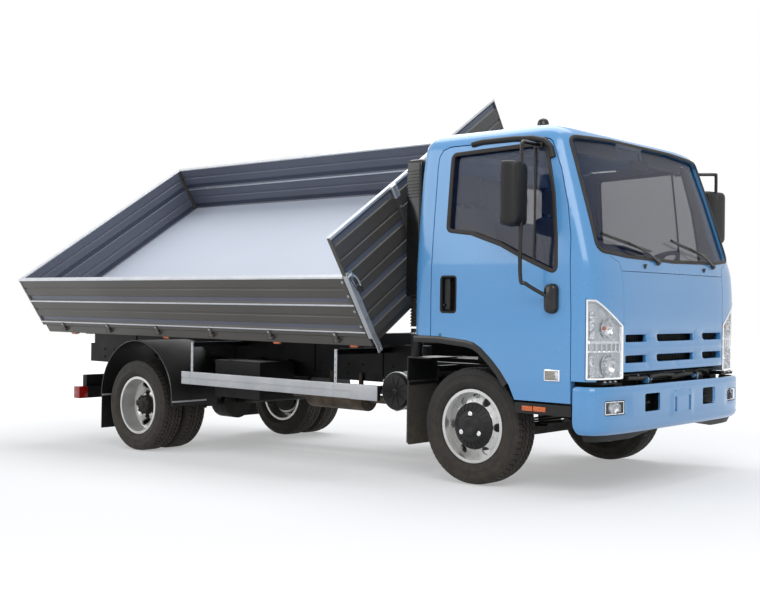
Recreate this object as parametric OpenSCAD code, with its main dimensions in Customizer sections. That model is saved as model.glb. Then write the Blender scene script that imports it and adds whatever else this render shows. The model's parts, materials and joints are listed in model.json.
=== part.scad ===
// Cab-over light truck with a three-way drop-side tipper body, stored with the body tipped to its right.
// Everything is drawn square to the chassis rails, with X forward, Y to the left and the front axle
// at X = 0, and stance() then stands the whole truck on the floor.

/* [Stance] */
// Distance between the front and rear axles
wheelbase = 3365; // [3000:5:4200]
// Nose-down angle of the empty chassis, in degrees
frame_rake = 1.55; // [0:0.05:3]
// From the front axle forward to the middle of the whole box
box_middle_x = -1957; // [-2500:5:-1500]
// From the centreline to the middle of the whole box
box_middle_y = -127; // [-200:1:200]

/* [Wheels] */
// Tyre radius, on the floor
tyre_r = 376; // [340:1:420]
// Tyre width
tyre_w = 211; // [180:1:235]
// Radius of the rim flange
rim_r = 237; // [225:0.5:250]
// Width between the rim's flanges
rim_w = 152; // [140:1:165]
// From the centreline to the middle of a front wheel
front_track_half = 838; // [800:1:860]
// From the centreline to the middle of a rear wheel pair
rear_track_half = 825; // [800:1:850]
// Gap between the twin rear tyres
twin_gap = 29; // [20:1:50]
// Number of hand holes in a wheel disc
hand_holes = 6; // [5:1:8]

/* [Chassis] */
// Width over the outsides of the rails
frame_w = 850; // [750:5:900]
// Depth of a rail
rail_h = 173; // [150:1:230]
// Width of a rail's flange
rail_flange = 65; // [55:1:80]
// Thickness of the rail's plate
rail_t = 7; // [5:0.5:9]
// Height of the rails' top above the floor at the front axle
frame_top = 742; // [700:1:800]
// From the rear axle back to the ends of the rails
rear_overhang = 1560; // [1200:5:1700]
// From the front axle forward to the rails' front ends
rail_nose = 900; // [850:5:940]
// Height of the tipper's subframe
subframe_h = 110; // [80:1:130]

/* [Cab] */
// Width of the cab over its doors
cab_w = 1990; // [1900:5:2100]
// From the front axle back to the cab's back wall
cab_back = 440; // [400:5:500]
// From the front axle forward to the cab's front
cab_nose = 955; // [900:5:1000]
// Height of the roof above the floor at the front axle
roof_z = 2290; // [2200:5:2400]
// Thickness of doors and side walls
side_t = 65; // [50:1:80]
// Thickness of the front, back and roof
shell_t = 45; // [35:1:60]
// Gap around a door
door_gap = 6; // [5:0.5:8]
// How far a door opens, in degrees
door_open = 65; // [50:1:75]

/* [Body] */
// Width of the tipper body
bed_w = 2130; // [2000:5:2300]
// Length of the tipper body
bed_l = 3980; // [3500:10:4500]
// Height of the floor above the floor of the hall, when it lies level, at the front axle
floor_z = 1076; // [1050:1:1120]
// Height of the sides above the floor
side_h = 431; // [350:1:600]
// Height of the front board above the floor
front_board_h = 726; // [600:1:900]
// Thickness of a side
board_t = 30; // [25:1:40]
// Depth of the floor's frame
floor_frame_h = 122; // [100:1:130]
// From the front axle back to the body's front
bed_front = 718; // [700:1:900]
// From the centreline to a tipping pivot
pivot_y = 900; // [850:5:920]
// Height of the tipping pivots
pivot_z = 935; // [930:1:940]
// Angle at which the body stands tipped to the right, in degrees
tip_angle = 33; // [0:0.5:45]

/* [Hidden] */
$fn = 48;

// ---- derived places ----
front_hub = tyre_r;
rear_axle_x = -wheelbase * cos(frame_rake);
rear_hub = front_hub - wheelbase * sin(frame_rake);
rail_end = rear_axle_x - rear_overhang;
rail_y = frame_w / 2;
frame_bottom = frame_top - rail_h;
subframe_top = frame_top + subframe_h;
twin_spacing = tyre_w + twin_gap;
half_cab = cab_w / 2;
half_bed = bed_w / 2;
bed_rear = bed_front + bed_l;

// ---- frames of reference ----
module stance() {
    translate([-box_middle_x, -box_middle_y, front_hub])
        rotate([0, frame_rake, 0])
            translate([0, 0, -front_hub]) children();
}
// The body's own place: X forward, Y left, the floor at Z = 0, tipped about the right-hand pivots
module tipped() {
    stance() translate([0, -pivot_y, pivot_z])
        rotate([tip_angle, 0, 0])
            translate([0, pivot_y, floor_z - pivot_z]) children();
}
module both_sides() { children(); mirror([0, 1, 0]) children(); }
// A box given by its low and high corners
module span(a, b) { translate(a) cube(b - a); }
// A rod along Y or X
module rod_y(r, y0, y1) { translate([0, y0, 0]) rotate([-90, 0, 0]) cylinder(r = r, h = y1 - y0); }
module rod_x(r, x0, x1) { translate([x0, 0, 0]) rotate([0, 90, 0]) cylinder(r = r, h = x1 - x0); }
// A round bar between two points, with slightly fuller round ends
module bar(a, b, r) {
    d = b - a;
    translate(a) rotate([0, acos(d[2] / norm(d)), atan2(d[1], d[0])]) cylinder(r = r, h = norm(d));
    for (p = [a, b]) translate(p) sphere(r = r + 1);
}
// Extrudes an outline drawn in X and Z from y0 to y1
module side_slab(y0, y1) { translate([0, y1, 0]) rotate([90, 0, 0]) linear_extrude(y1 - y0) children(); }
// Extrudes an outline drawn in Y and Z from x0 to x1
module front_slab(x0, x1) {
    translate([x0, 0, 0]) rotate([90, 0, 90]) linear_extrude(x1 - x0) children();
}

// ---- wheels ----
rim_t = 9;
bead_r = rim_r - 14;
flange_t = 10;
hub_r = 92;
spindle_r = 30;
stub_r = 40;
run = 0.05; // running clearance of a hub on its spindle
disc_t = 12;
hand_hole_r = 28;

// Half of a tyre's section as [radius, distance from the middle]
function tyre_half() = [[bead_r + 0.3, rim_w / 2 - 0.5], [rim_r + 1, rim_w / 2 - 0.5],
    [rim_r + 6, rim_w / 2 + 8], [rim_r + 30, tyre_w / 2 - 4], [rim_r + 68, tyre_w / 2],
    [tyre_r - 48, tyre_w / 2 - 2], [tyre_r - 18, tyre_w / 2 - 12], [tyre_r - 5, tyre_w / 2 - 22],
    [tyre_r - 1.5, tyre_w / 4], [tyre_r, 10]];
module turned_y(points) { rotate([-90, 0, 0]) rotate_extrude($fn = 96) polygon(points); }
module tyre() {
    half = tyre_half();
    other = [for (i = [len(half) - 1:-1:0]) [half[i][0], -half[i][1]]];
    turned_y(concat(half, other));
}
// The rim's barrel and flanges, with a disc from disc_y at its edge to face_y at its middle, outwards
module rim(disc_y, face_y, middle_r) {
    w = rim_w / 2;
    difference() {
        union() {
            turned_y([[bead_r, -w], [rim_r, -w], [rim_r, -w - flange_t], [bead_r - 6, -w - flange_t],
                [bead_r - rim_t, -w + 8], [bead_r - rim_t, w - 8], [bead_r - 6, w + flange_t],
                [rim_r, w + flange_t], [rim_r, w], [bead_r, w]]);
            turned_y([[middle_r, face_y], [150, face_y], [196, disc_y + 8], [bead_r - rim_t + 1, disc_y],
                [bead_r - rim_t + 1, disc_y - disc_t], [192, disc_y + 6 - disc_t],
                [146, face_y - disc_t], [middle_r, face_y - disc_t]]);
        }
        for (i = [0:hand_holes - 1]) rotate([0, (i + 0.5) * 360 / hand_holes, 0])
            translate([0, 0, 178]) rod_y(hand_hole_r, -120, 120);
    }
}
// A front wheel: rim, disc, brake drum and hub, bored for the spindle
module front_wheel_solid() {
    difference() {
        union() {
            rim(30, 62, 60);
            rod_y(165, -70, -18);
            rod_y(hub_r, -60, 96);
            rod_y(60, 90, 112);
        }
        rod_y(spindle_r + run, -100, 80);
    }
}
module rear_wheel_solid() {
    half = twin_spacing / 2;
    difference() {
        union() {
            translate([0, half, 0]) mirror([0, 1, 0]) rim(half - 62, half, 60);
            translate([0, -half, 0]) rim(half - 62, half, 60);
            rod_y(165, -150, -30);
            rod_y(hub_r + 18, -60, 96);
            rod_y(70, 90, 150);
        }
        rod_y(stub_r + run, -200, 90);
    }
}
module front_wheel_place(s) {
    stance() translate([0, s * front_track_half, front_hub]) mirror([0, s < 0 ? 1 : 0, 0]) children();
}
module rear_wheel_place(s) {
    stance() translate([rear_axle_x, s * rear_track_half, rear_hub])
        mirror([0, s < 0 ? 1 : 0, 0]) children();
}
tyre_c = [0.13, 0.12, 0.11];
wheel_c = [0.78, 0.78, 0.77];
module twin_tyres() { for (s = [-1, 1]) translate([0, s * twin_spacing / 2, 0]) tyre(); }
module tyre_front_right() { color(tyre_c) front_wheel_place(-1) tyre(); }
module tyre_front_left() { color(tyre_c) front_wheel_place(1) tyre(); }
module wheel_front_right() { color(wheel_c) front_wheel_place(-1) front_wheel_solid(); }
module wheel_front_left() { color(wheel_c) front_wheel_place(1) front_wheel_solid(); }
module tyres_rear_right() { color(tyre_c) rear_wheel_place(-1) twin_tyres(); }
module tyres_rear_left() { color(tyre_c) rear_wheel_place(1) twin_tyres(); }
module wheels_rear_right() { color(wheel_c) rear_wheel_place(-1) rear_wheel_solid(); }
module wheels_rear_left() { color(wheel_c) rear_wheel_place(1) rear_wheel_solid(); }

// ---- steering ----
kingpin_y = 690;
kingpin_r = 15;
fist_r = 36;
fist_h = 110;
ear_h = 30;
ear_gap = 1;
arm_l = 160;
tie_z = front_hub - 130;
ball_r = 11;
module knuckle_solid() {
    translate([0, kingpin_y, front_hub]) {
        difference() {
            union() {
                for (s = [-1, 1]) translate([0, 0, s * (fist_h / 2 + ear_gap + ear_h / 2)])
                    cylinder(r = fist_r, h = ear_h, center = true);
                for (s = [-1, 1]) translate([0, 0, s * (fist_h / 2 + ear_gap + ear_h / 2)])
                    span([-28, 0, -ear_h / 2], [28, 64, ear_h / 2]);
                span([-42, 42, -fist_h / 2 - 16], [42, 64, fist_h / 2 + 16]);
            }
        }
        cylinder(r = kingpin_r, h = fist_h + 2 * ear_h, center = true);
        rod_y(spindle_r, 60, front_track_half - kingpin_y + 74);
        rod_y(160, 64, 70);
        span([-arm_l - 18, -18, tie_z - front_hub + 17], [0, 18, tie_z - front_hub + 41]);
        translate([0, 0, tie_z - front_hub + 17]) cylinder(r = 20, h = 56);
        translate([-arm_l, 0, tie_z - front_hub - 14]) cylinder(r = ball_r, h = 32);
    }
}
module knuckle_left() { color("dimgray") stance() knuckle_solid(); }
module knuckle_right() { color("dimgray") stance() mirror([0, 1, 0]) knuckle_solid(); }
module tie_rod() {
    color("dimgray") stance() difference() {
        union() {
            translate([-arm_l, 0, tie_z]) rod_y(14, -kingpin_y, kingpin_y);
            for (s = [-1, 1]) translate([-arm_l, s * kingpin_y, tie_z - 14]) cylinder(r = 24, h = 24);
        }
        translate([-arm_l, -kingpin_y, tie_z - 20]) cylinder(r = ball_r + run, h = 60);
        translate([-arm_l, kingpin_y, tie_z - 20]) cylinder(r = ball_r + 3, h = 60);
    }
}

// ---- chassis ----
module chassis_frame() {
    color([0.07, 0.07, 0.08]) stance() {
        both_sides() difference() {
            span([rail_end, rail_y - rail_flange, frame_bottom], [rail_nose, rail_y, frame_top]);
            span([rail_end - 1, rail_y - rail_flange - 1, frame_bottom + rail_t],
                [rail_nose + 1, rail_y - rail_t, frame_top - rail_t]);
        }
        for (x = [500, -1080, -1900, -3150, rear_axle_x - 620, rail_end + 20])
            translate([x, 0, 0]) span([0, -rail_y + rail_t, frame_bottom + rail_t + 12],
                [40, rail_y - rail_t, frame_top - rail_t - 12]);
        // a low front crossmember, and on it the plates that carry the cab's tilt pins
        span([rail_nose - 60, -rail_y + rail_t, frame_bottom + rail_t + 12],
            [rail_nose - 20, rail_y - rail_t, frame_bottom + rail_t + 64]);
        both_sides() difference() {
            span([rail_nose - 60, tilt_y, frame_bottom + 30],
                [tilt_x + 14, tilt_y + tilt_plate_t, tilt_z + 26]);
            translate([tilt_x, 0, tilt_z]) rod_y(tilt_pin_r + run, tilt_y - 40, tilt_y + 60);
        }
    }
}
tilt_x = 925;
tilt_z = 700;
tilt_y = rail_y - 115;
tilt_plate_t = 24;
tilt_pin_r = 14;

pivot_r = 25;
pivot_block = 44;
ear_t = 28;
cradle_x = -(bed_front + bed_rear) / 2 + 8;
beam_x = [-bed_front - 432, cradle_x, -bed_rear + 448];
trunnion_z = 560;
trunnion_r = 22;
barrel_r = 78;
module subframe() {
    color([0.07, 0.07, 0.08]) stance() {
        both_sides() span([rail_end + 60, rail_y - rail_flange, frame_top],
            [-bed_front - 60, rail_y, subframe_top]);
        for (x = beam_x) {
            both_sides() {
                if (x != cradle_x) {
                    span([x - pivot_block, 0, subframe_top],
                        [x + pivot_block, pivot_y - pivot_r - 40, pivot_z]);
                    span([x - pivot_block, pivot_y - pivot_r - 41, subframe_top],
                        [x + pivot_block, pivot_y + 12, pivot_z]);
                    translate([0, pivot_y, pivot_z])
                        rod_x(pivot_r, x - pivot_block - ear_t - 14, x + pivot_block + ear_t + 14);
                }
            }
        }
        // cradle of the tipping cylinder, between the rails
        both_sides() {
            span([cradle_x - 150, 210, trunnion_z - 50], [cradle_x + 150, 235, subframe_top - 20]);
            span([cradle_x - 150, 210, subframe_top - 50],
                [cradle_x + 150, rail_y - rail_flange, subframe_top - 20]);
        }
        for (s = [-1, 1]) difference() {
            span([cradle_x + s * (barrel_r + 40) - 12, -211, trunnion_z - 50],
                [cradle_x + s * (barrel_r + 40) + 12, 211, trunnion_z + 50]);
            translate([0, 0, trunnion_z]) rod_x(trunnion_r + run, cradle_x - 300, cradle_x + 300);
        }
        // side plates down the rails
        both_sides() for (x = [-1250, -1960, -2900, rear_axle_x - 900])
            span([x - 60, rail_y, frame_bottom + 40], [x + 60, rail_y + 8, subframe_top - 20]);
    }
}

// ---- axles and springs ----
beam_drop = 70;
spring_y = rail_y - 40;
spring_w = 70;
module front_axle() {
    color([0.09, 0.09, 0.1]) stance() {
        difference() {
            union() {
                both_sides() {
                    translate([0, kingpin_y, front_hub]) cylinder(r = fist_r, h = fist_h, center = true);
                    span([-30, 560, front_hub - 52], [30, kingpin_y, front_hub + 8]);
                    front_slab(-30, 30) polygon([[440, front_hub - beam_drop - 35],
                        [600, front_hub - 52], [600, front_hub + 8], [440, front_hub - beam_drop + 35]]);
                }
                span([-30, -441, front_hub - beam_drop - 35], [30, 441, front_hub - beam_drop + 35]);
            }
            both_sides() translate([0, kingpin_y, front_hub])
                cylinder(r = kingpin_r + run, h = 300, center = true);
        }
    }
}
banjo_r = 165;
tube_r = 55;
module rear_axle() {
    color([0.07, 0.07, 0.08]) stance() translate([rear_axle_x, 0, rear_hub]) {
        rod_y(tube_r, -rear_track_half + 155, rear_track_half - 155);
        both_sides() span([-60, spring_y - 45, 20], [60, spring_y + 45, tube_r + 6]);
        both_sides() rod_y(stub_r, rear_track_half - 156, rear_track_half + 85);
        rotate([0, 90, 0]) cylinder(r = banjo_r, h = 190, center = true);
        both_sides() rod_y(150, rear_track_half - 172, rear_track_half - 160);
    }
}
// A leaf spring pack: arched leaves from x0 to x1, seated at the axle and eyes at the rail
module leaf_pack(x0, x1, xm, seat_z, eye_z, leaves, leaf_t) {
    for (i = [0:leaves - 1]) {
        k = 1 - 0.8 * i / leaves;
        xa = xm + (x0 - xm) * k;
        xb = xm + (x1 - xm) * k;
        za = seat_z + (eye_z - seat_z) * k * k;
        z = -i * leaf_t;
        side_slab(spring_y - spring_w / 2, spring_y + spring_w / 2) polygon([
            [xa, za + z], [xm - 60, seat_z + z], [xm + 60, seat_z + z], [xb, za + z],
            [xb, za + z - leaf_t], [xm + 60, seat_z + z - leaf_t], [xm - 60, seat_z + z - leaf_t],
            [xa, za + z - leaf_t]]);
    }
}
module leaf_springs() {
    color([0.1, 0.1, 0.1]) stance() both_sides() {
        top = front_hub - beam_drop + 35;
        leaf_pack(-640, 620, 0, top + 52, frame_bottom - 60, 4, 13);
        for (x = [-640, 620])
            span([x - 22, spring_y - 40, frame_bottom - 92], [x + 22, spring_y + 40, frame_bottom]);
        rtop = rear_hub + tube_r + 6;
        leaf_pack(rear_axle_x - 640, rear_axle_x + 640, rear_axle_x, rtop + 78, frame_bottom - 60, 6, 13);
        for (x = [rear_axle_x - 640, rear_axle_x + 640])
            span([x - 22, spring_y - 40, frame_bottom - 92], [x + 22, spring_y + 40, frame_bottom]);
    }
}
engine_y = rail_y - rail_flange - 70;
module drivetrain() {
    color([0.25, 0.25, 0.26]) stance() {
        span([-420, -engine_y, 470], [290, engine_y, 880]);
        span([-900, -170, 470], [-420, 170, 760]);
        translate([0, 0, 530]) rod_x(36, -1010, -899);
        hull() {
            translate([-1010, 0, 530]) sphere(r = 34, $fn = 24);
            translate([rear_axle_x + 200, 0, rear_hub + 10]) sphere(r = 34, $fn = 24);
        }
        translate([0, 0, rear_hub + 10]) rod_x(40, rear_axle_x + 95, rear_axle_x + 200);
    }
}

// ---- things hung on the chassis ----
module fuel_tank() {
    color([0.1, 0.1, 0.1]) stance() {
        side_slab(rail_y + 60, rail_y + 430) offset(r = 60, $fn = 32) offset(delta = -60)
            translate([-1750, 320]) square([900, 380]);
        for (x = [-1600, -1050]) span([x - 25, rail_y, 560], [x + 25, rail_y + 62, 700]);
        translate([-1300, rail_y + 245, 690]) cylinder(r = 45, h = 50);
    }
}
module battery_box() {
    color([0.1, 0.1, 0.1]) stance() {
        span([-2600, -rail_y - 420, 400], [-2080, -rail_y - 50, 690]);
        for (x = [-2500, -2180]) span([x - 25, -rail_y - 52, 580], [x + 25, -rail_y, 700]);
    }
}
intake_y = half_cab - 160;
cleaner_x = -680;
cleaner_z = 555;
module air_cleaner() {
    color([0.08, 0.08, 0.08]) stance() {
        translate([cleaner_x, 0, cleaner_z]) {
            rod_y(130, -870, -540);
            rod_y(112, -885, -869);
            translate([110, -intake_y + 45, 0]) cylinder(r = 42, h = 430);
        }
        span([cleaner_x - 40, -541, cleaner_z + 20], [cleaner_x + 40, -rail_y, cleaner_z + 80]);
    }
}
exhaust_y = -rail_y - 75;
exhaust_z = 448;
muffler_r = 95;
pipe_r = 30;
module exhaust() {
    color([0.45, 0.43, 0.4]) stance() {
        turn_x = -800;
        translate([0, exhaust_y, exhaust_z]) {
            rod_x(muffler_r, -1830, -1260);
            rod_x(pipe_r, -2040, -1829);
        }
        translate([0, exhaust_y, exhaust_z]) rod_x(pipe_r, -1261, turn_x);
        bar([turn_x, exhaust_y, exhaust_z], [turn_x + 60, -rail_y + 190, 510], pipe_r);
        translate([0, -rail_y + 190, 510]) rod_x(pipe_r, turn_x + 60, -420);
        for (x = [-1700, -1400])
            span([x - 15, exhaust_y + 53, exhaust_z + 60], [x + 15, -rail_y, frame_bottom + 60]);
    }
}
guard_r = 480;
guard_w = 290;
// Outer and inner faces of a rear guard
guard_out = rear_track_half + twin_spacing / 2 + tyre_w / 2 + 4;
guard_in = guard_out - 2 * tyre_w - 100;
guard_rise = 60; // centre of the rear guard's arc above the hub
front_guard_x = -512;
module mudguards() {
    color([0.09, 0.09, 0.1]) stance() both_sides() {
        // rear guards over the twin wheels, with their flaps
        side_slab(guard_in, guard_out) translate([rear_axle_x, rear_hub + guard_rise]) difference() {
            circle(r = guard_r, $fn = 96);
            circle(r = guard_r - 8, $fn = 96);
            translate([-600, -700]) square([1200, 700]);
        }
        span([rear_axle_x - guard_r, guard_in + 50, rear_hub - 225],
            [rear_axle_x - guard_r + 8, guard_out - 4, rear_hub + guard_rise + 2]);
        span([rear_axle_x + guard_r - 8, guard_in + 50, rear_hub + 20],
            [rear_axle_x + guard_r, guard_out - 4, rear_hub + guard_rise + 2]);
        for (s = [-1, 1]) span([rear_axle_x + s * 330 - 15, rail_y, rear_hub + guard_rise + 318],
            [rear_axle_x + s * 330 + 15, guard_in + 60, rear_hub + guard_rise + 348]);
        // front guards behind the front wheels
        span([front_guard_x - 8, 640, 225], [front_guard_x, 950, 800]);
        span([front_guard_x - 8, 640, 792], [-330, 950, 800]);
        span([front_guard_x - 7, rail_y, frame_top - 50], [front_guard_x + 32, 645, frame_top - 10]);
    }
}
guard_top = 595;
guard_h = 100;
guard_y = 1030;
module side_guards() {
    color([0.72, 0.73, 0.74]) stance() both_sides() {
        span([-2800, guard_y - 25, guard_top - guard_h], [-870, guard_y, guard_top]);
        for (x = [-2700, -1130]) {
            span([x - 20, guard_y - 45, guard_top - guard_h], [x + 20, guard_y - 25, 830]);
            span([x - 20, rail_y, 790], [x + 20, guard_y - 26, 830]);
        }
    }
}
underrun_in = 594;
module underrun_bar() {
    color([0.07, 0.07, 0.08]) stance() translate([round(rail_end + underrun_in), 0, 0]) {
        span([0, -1000, 282], [80, 1000, 385]);
        both_sides() span([0, rail_y - 95, 384], [70, rail_y - 35, frame_bottom]);
        both_sides() span([-15, 600, 384], [40, 900, 484]);
    }
}
bumper_top = 677;
bumper_bottom = 393;
bumper_nose = 995;
// The bumper's plan: nearly flat across the front, rounded back to the sides, n is the corner's fullness
function nose_plan(w, front, back, n, steps = 24) = [for (i = [0:steps])
    let (a = -90 + 180 * i / steps, s = sin(a), c = cos(a))
    [back + (front - back) * pow(abs(c), 2 / n), w * sign(s) * pow(abs(s), 2 / n)]];
module nose_area(w, front, back, rear, n) {
    polygon(concat(nose_plan(w, front, back, n), [[rear, w], [rear, -w]]));
}
module bumper() {
    color([0.42, 0.65, 0.85]) stance() difference() {
        translate([0, 0, bumper_bottom]) linear_extrude(bumper_top - bumper_bottom) difference() {
            nose_area(half_cab + 5, bumper_nose, 790, 785, 5);
            nose_area(half_cab - 45, bumper_nose - 50, 760, 700, 5);
        }
        both_sides() span([860, 320, 520], [1100, 480, 610]);
    }
    color([0.1, 0.1, 0.1]) stance() both_sides() {
        span([rail_nose, rail_y - 60, frame_bottom + 20], [bumper_nose - 40, rail_y, frame_bottom + 90]);
        span([rail_nose, rail_y - 60, tow_z], [rail_nose + 10, rail_y, frame_bottom + 21]);
        difference() {
            span([rail_nose, rail_y - 60, tow_z], [bumper_nose - 54, rail_y, tow_z + tow_t]);
            translate([tow_x, tow_y, tow_z - 1]) cylinder(r = tow_r, h = tow_t + 2);
        }
    }
}
tow_x = 924;
tow_y = rail_y - 30;
tow_z = 535;
tow_t = 20;
tow_r = 14;
module cab_steps() {
    color([0.08, 0.08, 0.08]) stance() both_sides() {
        span([376, half_cab - 50, 495], [775, half_cab - 5, 560]);
        span([445, 760, 495], [775, half_cab - 49, 515]);
        span([500, rail_y, 500], [560, 761, 555]);
        span([500, rail_y, 500], [560, rail_y + 20, frame_bottom + 60]);
    }
}

// ---- cab ----
// Stations of the cab's outside: [height, how far in at each side, back from the nose, forward from the back]
function cab_stations() = [[573, 8, 5, 0], [760, 2, 0, 0], [1200, 0, 2, 0], [1369, 2, 13, 0], [1480, 9, 40, 0],
    [roof_z - 390, 47, 170, 0], [roof_z - 170, 70, 243, 8], [roof_z - 100, 83, 267, 16],
    [roof_z - 55, 110, 300, 35], [roof_z - 25, 150, 355, 65], [roof_z - 7, 225, 435, 110],
    [roof_z, 355, 535, 180]];
corner_r = 60;
// One closed ring around the cab, inset by side, front and back thickness
function cab_ring(w, front, back) = concat(nose_plan(w, front, front - 200, 5),
    [for (a = [0:22.5:90]) [back + corner_r - corner_r * sin(a), w - corner_r + corner_r * cos(a)]],
    [for (a = [90:-22.5:0]) [back + corner_r - corner_r * sin(a), -w + corner_r - corner_r * cos(a)]]);
module loft(rings) {
    n = len(rings[0][1]);
    m = len(rings);
    polyhedron(points = [for (r = rings) for (p = r[1]) [p[0], p[1], r[0]]],
        faces = concat([[for (i = [0:n - 1]) i]], [[for (i = [n - 1:-1:0]) (m - 1) * n + i]],
            [for (j = [0:m - 2]) for (i = [0:n - 1]) for (t = [0, 1])
                let (k = (i + 1) % n) t == 0 ? [j * n + i, (j + 1) * n + i, (j + 1) * n + k]
                    : [j * n + i, (j + 1) * n + k, j * n + k]]));
}
// The cab's body, inset on all sides by the given amounts
module cab_body(side, front, back, top, low = 0) {
    st = cab_stations();
    loft([for (i = [0:len(st) - 1]) let (s = st[i])
        [i == 0 ? s[0] - low : i > 5 ? s[0] - top : s[0],
            cab_ring(half_cab - s[1] - side, cab_nose - s[2] - front, -cab_back + s[3] + back)]]);
}
floor_low = 765;
floor_t = 40;
seat_floor = 935;
// Under edge of the doors and corner pillars, over the front wheel
arch_line = [[-500, 945], [-225, 945], [0, 925], [60, 912], [118, 880], [200, 810], [270, 740],
    [330, 660], [370, 573], [370, 400]];
module under_cab_outline() {
    polygon([[-700, 300], [-700, seat_floor], [320, seat_floor], [350, floor_low], [1200, floor_low],
        [1200, 300]]);
}
module inside_floor_outline() {
    polygon([[-700, 300], [-700, seat_floor + floor_t], [350, seat_floor + floor_t],
        [385, floor_low + floor_t], [1200, floor_low + floor_t], [1200, 300]]);
}
module arch_outline() { polygon(concat([[-700, 300], [-700, 945]], arch_line)); }
module door_outline() {
    polygon([[-285, 945], [-225, 945], [0, 925], [60, 912], [118, 880], [200, 810], [270, 740], [330, 660],
        [370, 573], [769, 573], [769, 1100], [753, 1561], [720, 1750], [655, 1980], [582, 2150], [560, 2168],
        [520, 2178], [-200, 2178], [-255, 2160], [-280, 2120], [-285, 2050]]);
}
module window_outline() {
    offset(r = 25, $fn = 32) offset(delta = -25)
        polygon([[-172, 1630], [20, 1606], [250, 1530], [420, 1448], [668, 1345], [655, 1560],
            [620, 1830], [545, 2148], [-172, 2128]]);
}
// The windscreen's edge: in from the cab's side, and height, from the bottom's middle up
screen_line = [[half_cab, 1448], [395, 1460], [110, 1485], [127, 1800], [150, 2185], [595, 2205]];
function right_half(line) = [for (i = [len(line) - 1:-1:1]) [line[i][0] - half_cab, line[i][1]]];
module windshield_outline() {
    offset(r = 45, $fn = 32) offset(delta = -45)
        polygon(concat(right_half(screen_line), [for (p = screen_line) [half_cab - p[0], p[1]]]));
}
panel_in = 308;
module panel_outline() {
    side = half_cab - panel_in;
    polygon([[-side, 755], [side, 755], [side, 1180], [side + 12, 1369], [-side - 12, 1369],
        [-side, 1180]]);
}
module lamp_outline(g = 0) {
    inner = half_cab - panel_in + 3;
    offset(delta = g) polygon([[inner, 716], [half_cab + 25, 716], [half_cab + 25, 1200],
        [half_cab - 35, 1187], [inner, 1042]]);
}
window_x = 860;
rear_window_y = half_cab - 435;
cab_c = [0.42, 0.65, 0.85];
module cab_hollow() { cab_body(side_t, shell_t, shell_t, shell_t, 200); }
module cab_shell() {
    color(cab_c) stance() {
        difference() {
            cab_body(0, 0, 0, 0);
            difference() {
                cab_hollow();
                side_slab(-2000, 2000) inside_floor_outline();
            }
            // under the floor, and over the wheels outside it
            side_slab(-half_cab + side_t, half_cab - side_t) under_cab_outline();
            side_slab(-2000, 2000) arch_outline();
            span([-2000, -2000, 0], [2000, 2000, 708]);
            // doors, windscreen, rear window, nose panel and headlamps
            for (s = [-1, 1]) side_slab(s > 0 ? 600 : -2000, s > 0 ? 2000 : -600)
                offset(delta = door_gap) door_outline();
            difference() {
                front_slab(window_x - 500, 1200) windshield_outline();
                cab_body(side_t, 130, shell_t, shell_t, 200);
            }
            span([-600, -rear_window_y, 1560], [-300, rear_window_y, 2050]);
            front_slab(window_x, 1200) panel_outline();
            both_sides() front_slab(862, 1200) lamp_outline();
            span([700, -half_cab + panel_in - 3, 600], [1200, half_cab - panel_in + 3, 756]);
        }
        // lugs and pins of the tilt hinge
        both_sides() {
            side_slab(tilt_y + tilt_plate_t + 5, tilt_y + tilt_plate_t + 18)
                polygon([[tilt_x - 22, tilt_z - 22], [tilt_x + 12, tilt_z - 22], [tilt_x + 12, tilt_z + 14],
                    [window_x, floor_low - 15], [window_x - 4, floor_low + 5],
                    [window_x - 70, floor_low + 5], [window_x - 70, floor_low - 8]]);
            translate([tilt_x, 0, tilt_z]) rod_y(tilt_pin_r, tilt_y - 10, tilt_y + tilt_plate_t + 16);
        }
        both_sides() door_hinge_pins();
    }
}
module front_panel() {
    color(cab_c) stance() difference() {
        intersection() {
            difference() { cab_body(0.3, 0.3, 0, 0); cab_body(side_t, shell_t - 5, shell_t, shell_t, 200); }
            front_slab(window_x + 2, 1200) offset(delta = -3) panel_outline();
        }
        for (z = [835, 955]) for (y = [[-600, -420], [-380, -240], [-215, 215], [240, 380], [420, 600]])
            span([700, y[0], z - 22], [1200, y[1], z + 22]);
    }
}
module cab_glass() {
    color([0.3, 0.35, 0.38]) stance() {
        intersection() {
            difference() { cab_body(14, 14, 0, 10); cab_body(22, 22, 10, 20, 300); }
            front_slab(300, 1200) offset(delta = -1) windshield_outline();
        }
        span([-cab_back + 15, -rear_window_y, 1560], [-cab_back + 23, rear_window_y, 2050]);
    }
}
module headlamps() {
    color([0.85, 0.87, 0.9]) stance() both_sides() intersection() {
        difference() { cab_body(1, 1, 0, 0); cab_body(side_t - 5, shell_t, shell_t, shell_t, 200); }
        front_slab(865, 1200) lamp_outline(-3);
    }
}
// Door hinges: pins on slanted brackets from the corner pillar, in bores and slots of the door's front edge
hinge_x = 750;
hinge_y = half_cab - 12;
hinge_r = 8;
hinge_heights = [780, 1180];
hinge_h = 90;
bracket_turn = -62;
bracket_l = 52;
module door_hinge_pins() {
    for (z = hinge_heights) translate([hinge_x, hinge_y, z]) {
        cylinder(r = hinge_r, h = hinge_h);
        translate([0, 0, 28]) rotate([0, 0, bracket_turn])
            span([0, -4, 0], [bracket_l, 4, hinge_h - 56]);
    }
}
module door_hinge_cuts() {
    for (z = hinge_heights) translate([hinge_x, hinge_y, z]) {
        translate([0, 0, -3]) cylinder(r = hinge_r + run, h = hinge_h + 6);
        intersection() {
            translate([0, 0, 22]) cylinder(r = bracket_l + 7, h = hinge_h - 44);
            span([-100, -100, 0], [100, half_cab - 3.5 - hinge_y, hinge_h]);
        }
    }
}
module door_solid() {
    difference() {
        door_panel();
        door_hinge_cuts();
    }
}
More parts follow.
